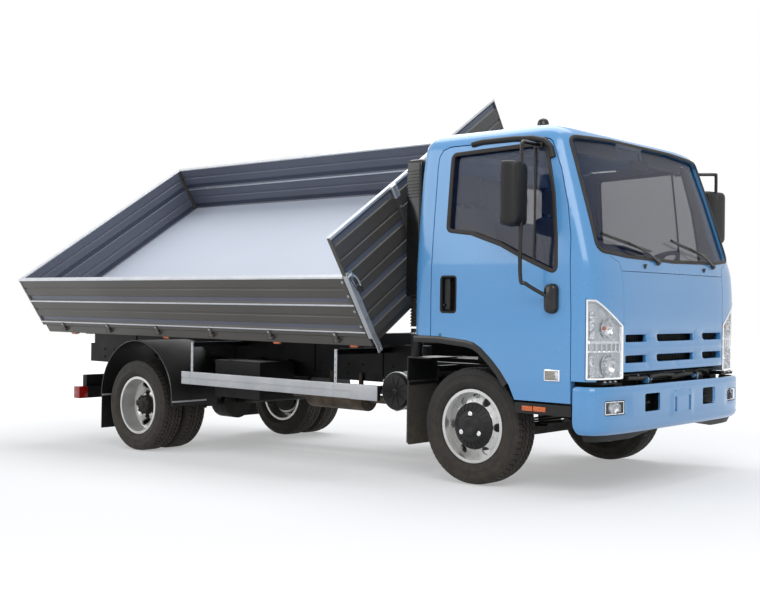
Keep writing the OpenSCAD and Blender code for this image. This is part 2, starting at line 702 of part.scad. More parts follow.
module door_panel() {
    intersection() {
        difference() {
            cab_body(0, 0, 0, 0);
            cab_body(side_t - 10, shell_t, shell_t, shell_t, 200);
            side_slab(0, 2000) window_outline();
        }
        side_slab(600, 2000) door_outline();
    }
}
module door_left() { color(cab_c) stance() door_solid(); }
module door_right() { color(cab_c) stance() mirror([0, 1, 0]) door_solid(); }
module door_glass_solid() {
    intersection() {
        difference() { cab_body(24, 0, 0, 0); cab_body(30, shell_t, shell_t, shell_t, 200); }
        side_slab(600, 2000) offset(delta = -0.5) window_outline();
    }
}
module door_glass_left() { color([0.3, 0.35, 0.38]) stance() door_glass_solid(); }
module door_glass_right() { color([0.3, 0.35, 0.38]) stance() mirror([0, 1, 0]) door_glass_solid(); }
// Distance of the cab's side from the centreline at a height
function side_at(z) = half_cab - lookup(z, [for (t = cab_stations()) [t[0], t[1]]]);
mirror_y = half_cab + 155;
mirror_x = 500;
// The arm's foot on the door, ahead of the window
foot_x = 640;
foot_z = 1195;
arm_high = 2135;
arm_low = 1300;
arm_r = 12;
// The mirror's head stands forward of its mounts by lead: the far one's more than the near one's
far_lead = 190;
module mirror_solid(lead) {
    translate([467 + lead, mirror_y, 1822]) rotate([0, 0, -12]) hull()
        for (x = [-20, 30]) for (y = [-75, 75]) for (z = [-165, 165])
            translate([x, y, z]) sphere(r = 30, $fn = 16);
    // arm: a tube from the roof corner down past the head, then forward to its foot on the door
    translate([mirror_x + lead, mirror_y - 20, arm_low]) cylinder(r = arm_r, h = arm_high - arm_low);
    bar([mirror_x, side_at(arm_high) + 16, arm_high], [mirror_x + lead, mirror_y - 20, arm_high], arm_r);
    bar([foot_x, half_cab + 20, foot_z], [mirror_x + lead, mirror_y - 20, arm_low], arm_r);
    span([foot_x - 40, half_cab + 0.2, foot_z - 85], [foot_x + 40, half_cab + 40, foot_z + 85]);
    front_slab(mirror_x - 60, mirror_x + 20) polygon([[side_at(arm_high - 18) + 0.2, arm_high - 18],
        [side_at(arm_high) + 22, arm_high - 18], [side_at(arm_high) + 22, arm_high + 18],
        [side_at(arm_high + 18) + 0.2, arm_high + 18]]);
}
module mirror_left() { color([0.1, 0.1, 0.1]) stance() mirror_solid(far_lead); }
module mirror_right() { color([0.1, 0.1, 0.1]) stance() mirror([0, 1, 0]) mirror_solid(0); }
module seats() {
    color([0.55, 0.55, 0.52]) stance() {
        z = seat_floor + floor_t;
        for (y = [[290, half_cab - 195], [-half_cab + 195, -270]]) {
            span([-260, y[0], z], [330, y[1], z + 250]);
            translate([-260, y[0], z + 240]) rotate([0, -12, 0]) cube([110, y[1] - y[0], 620]);
            translate([-378, (y[0] + y[1]) / 2 - 130, z + 850]) cube([90, 260, 220]);
        }
        span([-260, -262, z], [330, 282, z + 230]);
        translate([-260, -262, z + 225]) rotate([0, -12, 0]) cube([110, 544, 560]);
    }
}
dash_top = 1440;
column_tilt = 32;
wheel_x = 480;
wheel_z = 1420;
driver_y = 530;
column_r = 30;
// The steering column's own place: its axis is Z, and the wheel turns about it at the origin
module at_column() {
    translate([wheel_x, driver_y, wheel_z]) rotate([0, -column_tilt, 0]) children();
}
module dashboard() {
    color([0.35, 0.35, 0.35]) stance() difference() {
        intersection() {
            side_slab(-half_cab + side_t + 5, half_cab - side_t - 5)
                polygon([[600, 1120], [600, 1330], [660, 1400], [760, dash_top - 10], [880, dash_top],
                    [cab_nose, dash_top], [cab_nose, 1120]]);
            cab_body(side_t + 5, shell_t + 3, shell_t, shell_t, 200);
        }
        at_column() translate([0, 0, -350]) cylinder(r = column_r + 5, h = 300);
    }
}
module steering_wheel() {
    color([0.12, 0.12, 0.12]) stance() at_column() {
        rotate_extrude($fn = 64) translate([215, 0]) circle(r = 16, $fn = 24);
        for (a = [90, 210, 330]) rotate([0, 0, a]) span([0, -18, -14], [212, 18, -2]);
        translate([0, 0, -30]) cylinder(r = 75, h = 40);
        translate([0, 0, -300]) cylinder(r = column_r, h = 290);
    }
}
module air_intake() {
    color([0.08, 0.08, 0.08]) stance() {
        hull() for (z = [1225, 2115]) for (x = [-600, -500]) for (s = [-1, 1])
            translate([x, -intake_y + s * 35, z - 20]) cylinder(r = 18, h = 40, $fn = 24);
        for (z = [1400, 1950])
            span([-500, -intake_y - 15, z - 20], [-cab_back - 0.3, -intake_y + 15, z + 20]);
        translate([-570, -intake_y + 45, 1000]) cylinder(r = 48, h = 215);
    }
}

// ---- tipping body ----
gap = 6;
band_top = -52;
skirt_low = -46;
hinge_out = 12;
hinge_low = -80;
hinge_pin_r = 7;
hinge_eye_r = 13;
side_hinges = 6;
tail_hinges = 4;
bed_c = [0.36, 0.36, 0.38];
function hinge_spot(i, n, a, b) = a + (b - a) * (i + 0.5) / n;
// A hinge's fixed lugs and pin, for a panel outside Y = 0, or its strap and eye
module hinge_lugs() {
    for (s = [-1, 1]) translate([s * 24 - 4, 0, 0]) {
        span([0, -6, hinge_low - hinge_eye_r], [8, hinge_out, hinge_low + hinge_eye_r]);
        translate([0, hinge_out, hinge_low]) rod_x(hinge_eye_r, 0, 8);
    }
    translate([0, hinge_out, hinge_low]) rod_x(hinge_pin_r, -27, 27);
}
module hinge_strap() {
    difference() {
        union() {
            span([-15, 0, hinge_low], [15, hinge_out - 3, 20]);
            translate([0, hinge_out, hinge_low]) rod_x(hinge_eye_r, -15, 15);
            span([-15, 1, hinge_low], [15, hinge_out + 4, hinge_low + 30]);
        }
        translate([0, hinge_out, hinge_low]) rod_x(hinge_pin_r + run, -40, 40);
    }
}
module along_side() {
    for (i = [0:side_hinges - 1])
        translate([hinge_spot(i, side_hinges, -bed_rear, -bed_front), half_bed, 0]) children();
}
module along_tail() {
    translate([-bed_rear, 0, 0]) rotate([0, 0, 90])
        for (i = [0:tail_hinges - 1])
            translate([hinge_spot(i, tail_hinges, -half_bed + 60, half_bed - 60), 0, 0]) children();
}
module pivot_ear(open) {
    difference() {
        union() {
            rod_x(45, 0, ear_t);
            span([0, -45, 0], [ear_t, 45, floor_z - pivot_z - 60]);
        }
        rod_x(open ? pivot_r + 6 : pivot_r + run, -1, ear_t + 1);
        if (open) span([-1, -pivot_r - 6, -60], [ear_t + 1, pivot_r + 6, 0]);
    }
}
module bed_floor() {
    color([0.83, 0.85, 0.9]) tipped() {
        b = [-bed_rear, -bed_front - board_t];
        span([b[0] + board_t + gap, -half_bed + board_t + gap, -5], [b[1], half_bed - board_t - gap, 0]);
        both_sides() {
            span([b[0] + board_t + gap, half_bed - 92, -floor_frame_h], [b[1], half_bed - board_t - gap, -4]);
            span([b[0] + board_t + gap, half_bed - board_t - gap - 1, -floor_frame_h],
                [b[1], half_bed - 5, band_top]);
            along_side() hinge_lugs();
        }
        span([b[0] + board_t + gap, -half_bed + 91, -floor_frame_h], [b[0] + 92, half_bed - 91, -4]);
        span([b[0] + 5, -half_bed + 60, -floor_frame_h], [b[0] + board_t + gap + 1, half_bed - 60, band_top]);
        span([b[1] - 60, -half_bed + 91, -floor_frame_h], [b[1], half_bed - 91, -4]);
        along_tail() hinge_lugs();
        for (x = cross_x)
            span([x - 30, -half_bed + 91, -floor_frame_h + 5], [x + 30, half_bed - 91, -4]);
        for (x = [beam_x[0], beam_x[2]]) {
            span([x - 90, -half_bed + 91, -floor_frame_h + bolster_lift], [x + 90, half_bed - 91, -4]);
            for (s = [-1, 1]) for (e = [-1, 1])
                translate([x + e * (pivot_block + 5 + ear_t / 2) - ear_t / 2, s * pivot_y, pivot_z - floor_z])
                    pivot_ear(s > 0);
        }
        // clevis of the tipping cylinder
        for (e = [-1, 1]) {
            span([cradle_x + e * 60 - 10, -60, eye_low - 40], [cradle_x + e * 60 + 10, 60, -floor_frame_h]);
            translate([0, 0, eye_low]) rod_x(stub_pin_r, cradle_x + e * 43 - 8, cradle_x + e * 43 + 8);
        }
        span([cradle_x - 90, -91, -floor_frame_h], [cradle_x + 90, 91, -60]);
    }
}
eye_low = -166;
stub_pin_r = 12.5;
cross_step = 350;
cross_x = concat([for (i = [1:3]) beam_x[0] - i * cross_step],
    [for (i = [0:2]) beam_x[2] + 400 + i * cross_step]);
bolster_lift = 27;
module front_board() {
    color(bed_c) tipped() {
        span([-bed_front - board_t, -half_bed, -60], [-bed_front, half_bed, front_board_h]);
        both_sides() difference() {
            span([-bed_front - board_t, half_bed - 50, -175], [-bed_front - board_t + 12, half_bed, -59]);
            translate([0, half_bed - 25, -150]) rod_x(9, -bed_front - 100, -bed_front + 100);
        }
    }
}
module side_solid() {
    span([-bed_rear, half_bed - board_t, skirt_low], [-bed_front - board_t - gap, half_bed, side_h]);
    along_side() hinge_strap();
}
module dropside_left() { color(bed_c) tipped() side_solid(); }
module dropside_right() { color(bed_c) tipped() mirror([0, 1, 0]) side_solid(); }
module tailgate() {
    color(bed_c) tipped() {
        span([-bed_rear, -half_bed + board_t + gap, skirt_low],
            [-bed_rear + board_t, half_bed - board_t - gap, side_h]);
        along_tail() hinge_strap();
    }
}

// ---- tipping cylinder ----
eye_arm = [pivot_y, floor_z + eye_low - pivot_z];
function eye_at(a) = [-pivot_y + eye_arm[0] * cos(a) - eye_arm[1] * sin(a),
    pivot_z + eye_arm[0] * sin(a) + eye_arm[1] * cos(a) - trunnion_z];
closed_l = norm(eye_at(0));
open_l = norm(eye_at(tip_angle));
swing = atan2(-eye_at(tip_angle)[0], eye_at(tip_angle)[1]);
stroke = (open_l - closed_l) / 3;
stage_fit = 0.4;
tube_wall = 12;
module cylinder_place(stages) {
    stance() translate([cradle_x, 0, trunnion_z]) rotate([swing, 0, 0])
        translate([0, 0, stages * stroke]) children();
}
// One tube of the cylinder, open at the top
module stage(outer, bottom, top) {
    difference() {
        translate([0, 0, bottom]) cylinder(r = outer, h = top - bottom);
        translate([0, 0, bottom + 8]) cylinder(r = outer - tube_wall + stage_fit, h = top - bottom);
    }
}
module cylinder_barrel() {
    color([0.1, 0.1, 0.1]) cylinder_place(0) {
        stage(barrel_r, -60, 250);
        for (s = [0, 1]) mirror([s, 0, 0]) rod_x(trunnion_r, barrel_r - 4, barrel_r + 58);
    }
}
module cylinder_stage_1() { color([0.7, 0.7, 0.72]) cylinder_place(1) stage(barrel_r - tube_wall, -48, 270); }
module cylinder_stage_2() {
    color([0.7, 0.7, 0.72]) cylinder_place(2) stage(barrel_r - 2 * tube_wall, -36, 290);
}
module cylinder_rod() {
    color([0.7, 0.7, 0.72]) cylinder_place(3) {
        translate([0, 0, -26]) cylinder(r = barrel_r - 3 * tube_wall, h = closed_l + 2);
        difference() {
            translate([0, 0, closed_l]) rod_x(32, -27, 27);
            translate([0, 0, closed_l]) rod_x(16, -40, 40);
        }
    }
}

chassis_frame();
subframe();
front_axle();
rear_axle();
leaf_springs();
drivetrain();
fuel_tank();
battery_box();
air_cleaner();
exhaust();
mudguards();
side_guards();
underrun_bar();
bumper();
cab_steps();
cab_shell();
front_panel();
cab_glass();
headlamps();
seats();
dashboard();
steering_wheel();
air_intake();
door_right();
door_glass_right();
mirror_right();
door_left();
door_glass_left();
mirror_left();
bed_floor();
front_board();
dropside_right();
dropside_left();
tailgate();
cylinder_barrel();
cylinder_stage_1();
cylinder_stage_2();
cylinder_rod();
knuckle_right();
knuckle_left();
tie_rod();
tyre_front_right();
wheel_front_right();
tyre_front_left();
wheel_front_left();
tyres_rear_right();
wheels_rear_right();
tyres_rear_left();
wheels_rear_left();
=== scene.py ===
"""Light drop-side dump truck, body tipped to its right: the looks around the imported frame."""

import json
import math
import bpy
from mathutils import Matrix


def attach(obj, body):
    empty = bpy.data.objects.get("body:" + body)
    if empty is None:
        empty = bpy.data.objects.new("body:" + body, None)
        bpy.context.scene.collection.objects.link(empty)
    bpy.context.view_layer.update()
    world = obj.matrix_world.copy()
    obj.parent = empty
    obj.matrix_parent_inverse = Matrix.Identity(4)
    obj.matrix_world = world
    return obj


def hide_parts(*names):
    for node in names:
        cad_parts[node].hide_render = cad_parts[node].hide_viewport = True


bl_info = {
    "name": "Drop-side dump truck",
    "version": (1, 0, 0),
    "blender": (4, 5, 0),
    "location": "3D View > Sidebar > Truck",
    "description": "Builds the finished pieces of a light cab-over dump truck around its frame",
    "category": "Object",
}

import bmesh
import bpy
import numpy as np
from bpy.props import FloatProperty, IntProperty, PointerProperty, StringProperty
from mathutils import Matrix, Vector
from mathutils.geometry import delaunay_2d_cdt

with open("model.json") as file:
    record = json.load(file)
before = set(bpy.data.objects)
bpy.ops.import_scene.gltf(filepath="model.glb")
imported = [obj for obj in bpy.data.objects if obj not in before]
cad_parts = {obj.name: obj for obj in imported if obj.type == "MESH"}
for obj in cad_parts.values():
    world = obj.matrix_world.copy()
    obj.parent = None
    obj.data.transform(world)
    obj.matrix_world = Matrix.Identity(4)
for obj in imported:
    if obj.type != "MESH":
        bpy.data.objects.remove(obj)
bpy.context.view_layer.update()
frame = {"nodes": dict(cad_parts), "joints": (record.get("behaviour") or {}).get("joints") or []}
JOINTS = {joint["name"]: joint for joint in frame["joints"]}
MM = 0.001


# ---- frames of reference: each turns millimetres in its own axes into the frame's metres ----
def joint_point(name):
    return Vector(JOINTS[name]["pos_m"])


def joint_axis(name):
    return Vector(JOINTS[name]["axis"]).normalized()


def axes_matrix(x, y, z, origin):
    """A matrix that has these unit axes as its columns."""
    turned = Matrix((x, y, z)).transposed().to_4x4()
    return Matrix.Translation(origin) @ turned


def truck_frame():
    """X forward along the rails, Y left, Z up; the front axle is at X = 0, the floor under it at Z = 0."""
    x = joint_axis("bed_tip")
    y = joint_axis("cab_tilt")
    hub = (joint_point("front_wheel_right_spin") + joint_point("front_wheel_left_spin")) / 2
    up = x.cross(y)
    return axes_matrix(x, y, up, hub - up * hub.z) @ Matrix.Scale(MM, 4)


TRUCK = truck_frame()
TO_TRUCK = TRUCK.inverted()


def node_points(node, matrix):
    """A node's own points in a frame of reference, as an array."""
    mesh = frame["nodes"][node].data
    points = np.empty(len(mesh.vertices) * 3)
    mesh.vertices.foreach_get("co", points)
    turn = np.array(matrix.inverted())
    return points.reshape(-1, 3) @ turn[:3, :3].T + turn[:3, 3]


def extent(node, matrix=TRUCK):
    """A node's lowest and highest corner in a frame of reference, in millimetres."""
    points = node_points(node, matrix)
    return Vector(points.min(0)), Vector(points.max(0))


def bed_frame():
    """X forward, Y left, Z up from the body's floor; tipped with the body."""
    pivot = TO_TRUCK @ joint_point("bed_tip")
    cross = TO_TRUCK.to_3x3() @ joint_axis("tailgate_hinge")
    tip = math.atan2(cross.z, cross.y)
    turned = TRUCK @ Matrix.Translation((0, pivot.y, pivot.z)) @ Matrix.Rotation(tip, 4, "X")
    low, high = extent("bed_floor", turned)
    return turned @ Matrix.Translation((0, (low.y + high.y) / 2, high.z))


BED = bed_frame()


def wheel_frame(joint, side):
    """Y along the axle outwards, with the wheel's centre at the origin."""
    centre = TO_TRUCK @ joint_point(joint)
    return TRUCK @ Matrix.Translation(centre) @ Matrix.Scale(side, 4, (0, 1, 0))


# ---- driving sizes, most of them read from the frame ----
CAB_LOW, CAB_HIGH = extent("cab_shell")
DOOR_LOW, DOOR_HIGH = extent("door_left")
BUMPER_LOW, BUMPER_HIGH = extent("bumper")
RAIL_LOW, RAIL_HIGH = extent("chassis_frame")
HALF_CAB = DOOR_HIGH.y
CAB_NOSE = 955.0
CAB_BACK = -CAB_LOW.x
ROOF_Z = CAB_HIGH.z
BOARD_LOW, BOARD_HIGH = extent("front_board", BED)
SIDE_LOW, SIDE_HIGH = extent("dropside_left", BED)
GATE_LOW, GATE_HIGH = extent("tailgate", BED)
HALF_BED = BOARD_HIGH.y
TYRE_R = (TO_TRUCK @ joint_point("front_wheel_right_spin")).z
TYRE_LOW, TYRE_HIGH = extent("tyre_front_left")
TYRE_W = TYRE_HIGH.y - TYRE_LOW.y
BOTH = (1, -1)


# ---- meshes ----
def put(bm, name, body, matrix, materials, replaces=(), smooth=35, weld=0.0):
    """Turns a mesh drawn in millimetres into a finished piece that rides on a body."""
    if weld:
        bmesh.ops.remove_doubles(bm, verts=bm.verts, dist=weld)
    bmesh.ops.transform(bm, matrix=matrix, verts=bm.verts)
    if matrix.determinant() < 0:
        bmesh.ops.reverse_faces(bm, faces=bm.faces)
    mesh = bpy.data.meshes.new(name)
    bm.to_mesh(mesh)
    bm.free()
    mesh.shade_smooth()
    mesh.set_sharp_from_angle(angle=math.radians(smooth))
    for material in materials:
        mesh.materials.append(material)
    piece = bpy.data.objects.new(name, mesh)
    bpy.context.scene.collection.objects.link(piece)
    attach(piece, body)
    if replaces:
        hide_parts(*replaces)
    return piece


def soften(piece, width, segments=2):
    """Rounds a piece's edges by a width in millimetres."""
    bevel = piece.modifiers.new("Soft edges", "BEVEL")
    bevel.width = width * MM
    bevel.segments = segments
    bevel.limit_method = "ANGLE"
    bevel.angle_limit = math.radians(40)
    bevel.harden_normals = True
    return piece


def block(bm, low, high, mat=0):
    """A box between two corners, in whichever order they come."""
    a = [min(p, q) for p, q in zip(low, high)]
    b = [max(p, q) for p, q in zip(low, high)]
    corners = [bm.verts.new((x, y, z)) for x in (a[0], b[0]) for y in (a[1], b[1]) for z in (a[2], b[2])]
    for ring in ((0, 1, 3, 2), (4, 6, 7, 5), (0, 4, 5, 1), (2, 3, 7, 6), (0, 2, 6, 4), (1, 5, 7, 3)):
        bm.faces.new([corners[i] for i in ring]).material_index = mat
    return corners


def basis(direction, up=Vector((0, 0, 1))):
    """Two directions across a third."""
    d = Vector(direction).normalized()
    if abs(d.dot(up)) > 0.99:
        up = Vector((1, 0, 0))
    side = up.cross(d).normalized()
    return side, d.cross(side)


def loft(bm, rings, mat=0, closed=True, caps=True):
    """Faces between rings of points, each ring turning the same way."""
    made = [[bm.verts.new(p) for p in ring] for ring in rings]
    count = len(made[0])
    for a, b in zip(made, made[1:]):
        for i in range(count if closed else count - 1):
            k = (i + 1) % count
            bm.faces.new((a[i], a[k], b[k], b[i])).material_index = mat
    if caps and closed:
        bm.faces.new(list(reversed(made[0]))).material_index = mat
        bm.faces.new(made[-1]).material_index = mat
    return made


def circle(centre, direction, radius, sides, turn=0.0):
    """Points of a circle across a direction."""
    a, b = basis(direction)
    step = 2 * math.pi / sides
    return [Vector(centre) + (a * math.cos(turn + i * step) + b * math.sin(turn + i * step)) * radius
            for i in range(sides)]


def rod(bm, a, b, radius, sides=16, mat=0, end=None):
    """A round bar between two points, with its edges broken."""
    a, b = Vector(a), Vector(b)
    d = (b - a).normalized()
    end = radius if end is None else end
    edge = min(radius, end) * 0.15
    loft(bm, [circle(a, d, radius - edge, sides), circle(a + d * edge, d, radius, sides),
              circle(b - d * edge, d, end, sides), circle(b, d, end - edge, sides)], mat)


def spline(points, count):
    """A smooth run through the points, count steps for each stretch."""
    p = [Vector(q) for q in points]
    p = [p[0] * 2 - p[1]] + p + [p[-1] * 2 - p[-2]]
    run = []
    for i in range(1, len(p) - 2):
        for k in range(count):
            t = k / count
            run.append(0.5 * (2 * p[i] + (p[i + 1] - p[i - 1]) * t
                              + (2 * p[i - 1] - 5 * p[i] + 4 * p[i + 1] - p[i + 2]) * t * t
                              + (3 * p[i] - p[i - 1] - 3 * p[i + 1] + p[i + 2]) * t ** 3))
    return run + [p[-2]]


def tube(bm, points, radius, sides=12, mat=0, steps=6, wave=0.0, pitch=1):
    """A bent round tube through the points; wave swells every other ring, as on a ribbed hose."""
    run = spline(points, steps) if steps > 1 else [Vector(p) for p in points]
    rings = []
    across = None
    for i, p in enumerate(run):
        d = (run[min(i + 1, len(run) - 1)] - run[max(i - 1, 0)]).normalized()
        if across is None:
            across = basis(d)[0]
        across = (across - d * across.dot(d)).normalized()
        other = d.cross(across)
        r = radius + (wave if (i // pitch) % 2 else 0)
        rings.append([p + (across * math.cos(t) + other * math.sin(t)) * r
                      for t in (2 * math.pi * k / sides for k in range(sides))])
    loft(bm, rings, mat)


def lathe(bm, profile, steps=64, mat=0, close=False):
    """Turns [radius, distance along Y] points about the Y axis."""
    rings = []
    for i in range(steps):
        t = 2 * math.pi * i / steps
        rings.append([bm.verts.new((r * math.cos(t), y, r * math.sin(t))) for r, y in profile])
    count = len(profile)
    for i in range(steps):
        a, b = rings[i], rings[(i + 1) % steps]
        for k in range(count if close else count - 1):
            m = (k + 1) % count
            bm.faces.new((a[k], a[m], b[m], b[k])).material_index = mat
    return rings


def rounded(points, radius, steps=4):
    """An outline with its corners turned into arcs."""
    made = []
    count = len(points)
    for i in range(count):
        p = Vector(points[i])
        a = Vector(points[i - 1]) - p
        b = Vector(points[(i + 1) % count]) - p
        r = radius[i] if isinstance(radius, (list, tuple)) else radius
        half = a.angle(b) / 2
        cut = min(r / math.tan(half), a.length * 0.48, b.length * 0.48) if r > 0 and half > 0.05 else 0
        if cut < 0.5:
            made.append(tuple(p))
            continue
        start, stop = p + a.normalized() * cut, p + b.normalized() * cut
        for k in range(steps + 1):
            t = k / steps
            made.append(tuple(start * (1 - t) ** 2 + p * 2 * t * (1 - t) + stop * t * t))
    return made


def rectangle(low, high, radius=0.0, steps=4):
    box = [(low[0], low[1]), (high[0], low[1]), (high[0], high[1]), (low[0], high[1])]
    return rounded(box, radius, steps) if radius else box


def oval(centre, radii, steps=32):
    return [(centre[0] + radii[0] * math.cos(2 * math.pi * i / steps),
             centre[1] + radii[1] * math.sin(2 * math.pi * i / steps)) for i in range(steps)]


def divided(points, step):
    """An outline with points added, so that none of its edges is longer than step."""
    made = []
    for i, p in enumerate(points):
        q = points[(i + 1) % len(points)]
        parts = max(1, math.ceil(math.dist(p, q) / step))
        made += [(p[0] + (q[0] - p[0]) * k / parts, p[1] + (q[1] - p[1]) * k / parts) for k in range(parts)]
    return made


def inside(points, outline):
    """Which points lie inside an outline."""
    x, y = points[:, 0], points[:, 1]
    found = np.zeros(len(points), bool)
    for (x0, y0), (x1, y1) in zip(outline, outline[1:] + outline[:1]):
        if y0 == y1:
            continue
        found ^= ((y0 > y) != (y1 > y)) & (x < (x1 - x0) * (y - y0) / (y1 - y0) + x0)
    return found


def cut_sheet(outer, holes, step):
    """A flat sheet cut to an outline with holes: points, triangles, and each outline's point numbers."""
    outlines = [divided(o, step) for o in [outer] + list(holes)]
    edges, loops, points = [], [], []
    for outline in outlines:
        first = len(points)
        numbers = list(range(first, first + len(outline)))
        points += outline
        loops.append(numbers)
        edges += list(zip(numbers, numbers[1:] + numbers[:1]))
    rim = np.array(points)
    low, high = rim.min(0), rim.max(0)
    rows = []
    for j, y in enumerate(np.arange(low[1] + step / 2, high[1], step * 0.87)):
        xs = np.arange(low[0] + step * (0.25 + 0.5 * (j % 2)), high[0], step)
        rows.append(np.column_stack([xs, np.full(len(xs), y)]))
    grid = np.vstack(rows) if rows else np.empty((0, 2))
    keep = inside(grid, outlines[0])
    for outline in outlines[1:]:
        keep &= ~inside(grid, outline)
    grid = grid[keep]
    if len(grid):
        near = np.array([((rim - p) ** 2).sum(1).min() for p in grid])
        grid = grid[near > (0.45 * step) ** 2]
    everything = [Vector(p) for p in points] + [Vector(p) for p in grid]
    made, _, faces, origins, _, _ = delaunay_2d_cdt(everything, edges, [], 0, 1e-4)
    made = np.array([tuple(v) for v in made])
    centres = np.array([made[list(face)].mean(0) for face in faces])
    keep = inside(centres, outlines[0])
    for outline in outlines[1:]:
        keep &= ~inside(centres, outline)
    place = {}
    for new, old in enumerate(origins):
        for number in old:
            place[number] = new
    loops = [[place[n] for n in loop] for loop in loops]
    return made, [face for face, kept in zip(faces, keep) if kept], loops


def add_sheet(bm, sheet, points, flip=False, mat=0):
    """Adds a cut sheet at its points in space, and gives back its outlines' corners."""
    _, faces, loops = sheet
    verts = [bm.verts.new(p) for p in points]
    for face in faces:
        ring = [verts[i] for i in (reversed(face) if flip else face)]
        bm.faces.new(ring).material_index = mat
    kept = [[verts[i] for i in loop] for loop in loops]
    for v in verts:
        if not v.link_faces:
            bm.verts.remove(v)
    return kept


def wall(bm, a, b, flip=False, mat=0):
    """Faces between two matching outlines."""
    for i in range(len(a)):
        k = (i + 1) % len(a)
        ring = (a[i], a[k], b[k], b[i])
        bm.faces.new(tuple(reversed(ring)) if flip else ring).material_index = mat


def shell(bm, outer, holes, step, place, back, flip=False, mats=(0, 0, 0)):
    """A closed panel: a cut sheet at place(points), another at back(points), and walls between."""
    sheet = cut_sheet(outer, holes, step)
    near = add_sheet(bm, sheet, place(sheet[0]), flip, mats[0])
    far = add_sheet(bm, sheet, back(sheet[0]), not flip, mats[1])
    for number, (a, b) in enumerate(zip(near, far)):
        wall(bm, b, a, flip, mats[2])
    return sheet


def slab(bm, outline, place, thickness, holes=(), step=400, mats=(0, 0, 0)):
    """A flat plate with holes: place is a matrix, and the outline lies in its X and Y."""
    def at(height):
        return lambda points: [place @ Vector((p[0], p[1], height)) for p in points]
    shell(bm, outline, holes, step, at(thickness), at(0), False, mats)


def along(direction, origin=(0, 0, 0)):
    """A matrix for outlines: across X with Y and Z, across Y with X and Z, or across Z with X and Y."""
    axes = {"X": ((0, 1, 0), (0, 0, 1), (1, 0, 0)), "Y": ((0, 0, 1), (1, 0, 0), (0, 1, 0)),
            "Z": ((1, 0, 0), (0, 1, 0), (0, 0, 1))}[direction]
    return axes_matrix(*[Vector(a) for a in axes], Vector(origin))


def extruded(bm, profile, direction, a, b, mat=0):
    """A bar with a profile: its points lie across X as (Y, Z), across Y as (Z, X), or across Z as (X, Y)."""
    place = along(direction)
    loft(bm, [[place @ Vector((p[0], p[1], t)) for p in profile] for t in (a, b)], mat)
    return bm


# ---- geometry node trees for what repeats ----
def tree(name, inputs):
    """A geometry tree with named inputs, and its two end nodes."""
    made = bpy.data.node_groups.new(name, "GeometryNodeTree")
    made.interface.new_socket("Geometry", in_out="INPUT", socket_type="NodeSocketGeometry")
    for label, kind, value in inputs:
        socket = made.interface.new_socket(label, in_out="INPUT", socket_type="NodeSocket" + kind)
        if value is not None:
            socket.default_value = value
    made.interface.new_socket("Geometry", in_out="OUTPUT", socket_type="NodeSocketGeometry")
    return made, made.nodes.new("NodeGroupInput"), made.nodes.new("NodeGroupOutput")


def add_node(owner, kind, settings=None, values=None, links=None):
    """Adds a node, sets its properties and socket values, and links sockets to it."""
    made = owner.nodes.new(kind)
    for key, value in (settings or {}).items():
        setattr(made, key, value)
    for key, value in (values or {}).items():
        made.inputs[key].default_value = value
    for key, source in (links or {}).items():
        owner.links.new(source, made.inputs[key])
    return made


def bolt_tree():
    """A hexagon head, a washer and a shank end on every point, facing the point's own axis."""
    made, start, end = tree("Bolts on points", [
        ("Head radius", "Float", 0.009), ("Head height", "Float", 0.007), ("Material", "Material", None)])
    axis = add_node(made, "GeometryNodeInputNamedAttribute", {"data_type": "FLOAT_VECTOR"}, {"Name": "axis"})
    turn = add_node(made, "FunctionNodeAlignRotationToVector", {"axis": "Z"},
                    None, {"Vector": axis.outputs["Attribute"]})
    head = add_node(made, "GeometryNodeMeshCylinder", None, {"Vertices": 6},
                    {"Radius": start.outputs["Head radius"], "Depth": start.outputs["Head height"]})
    wide = add_node(made, "ShaderNodeMath", {"operation": "MULTIPLY"}, {1: 1.45},
                    {0: start.outputs["Head radius"]})
    thin = add_node(made, "ShaderNodeMath", {"operation": "MULTIPLY"}, {1: 0.4},
                    {0: start.outputs["Head height"]})
    washer = add_node(made, "GeometryNodeMeshCylinder", None, {"Vertices": 16},
                      {"Radius": wide.outputs[0], "Depth": thin.outputs[0]})
    narrow = add_node(made, "ShaderNodeMath", {"operation": "MULTIPLY"}, {1: 0.5},
                      {0: start.outputs["Head radius"]})
    tall = add_node(made, "ShaderNodeMath", {"operation": "MULTIPLY"}, {1: 1.9},
                    {0: start.outputs["Head height"]})
    shank = add_node(made, "GeometryNodeMeshCylinder", None, {"Vertices": 10},
                     {"Radius": narrow.outputs[0], "Depth": tall.outputs[0]})
    whole = add_node(made, "GeometryNodeJoinGeometry")
    for part in (head, washer, shank):
        made.links.new(part.outputs["Mesh"], whole.inputs[0])
    placed = add_node(made, "GeometryNodeInstanceOnPoints", None, None, {
        "Points": start.outputs["Geometry"], "Instance": whole.outputs[0], "Rotation": turn.outputs[0]})
    real = add_node(made, "GeometryNodeRealizeInstances", None, None, {0: placed.outputs[0]})
    coloured = add_node(made, "GeometryNodeSetMaterial", None, None,
                        {"Geometry": real.outputs[0], "Material": start.outputs["Material"]})
    made.links.new(coloured.outputs[0], end.inputs[0])
    return made


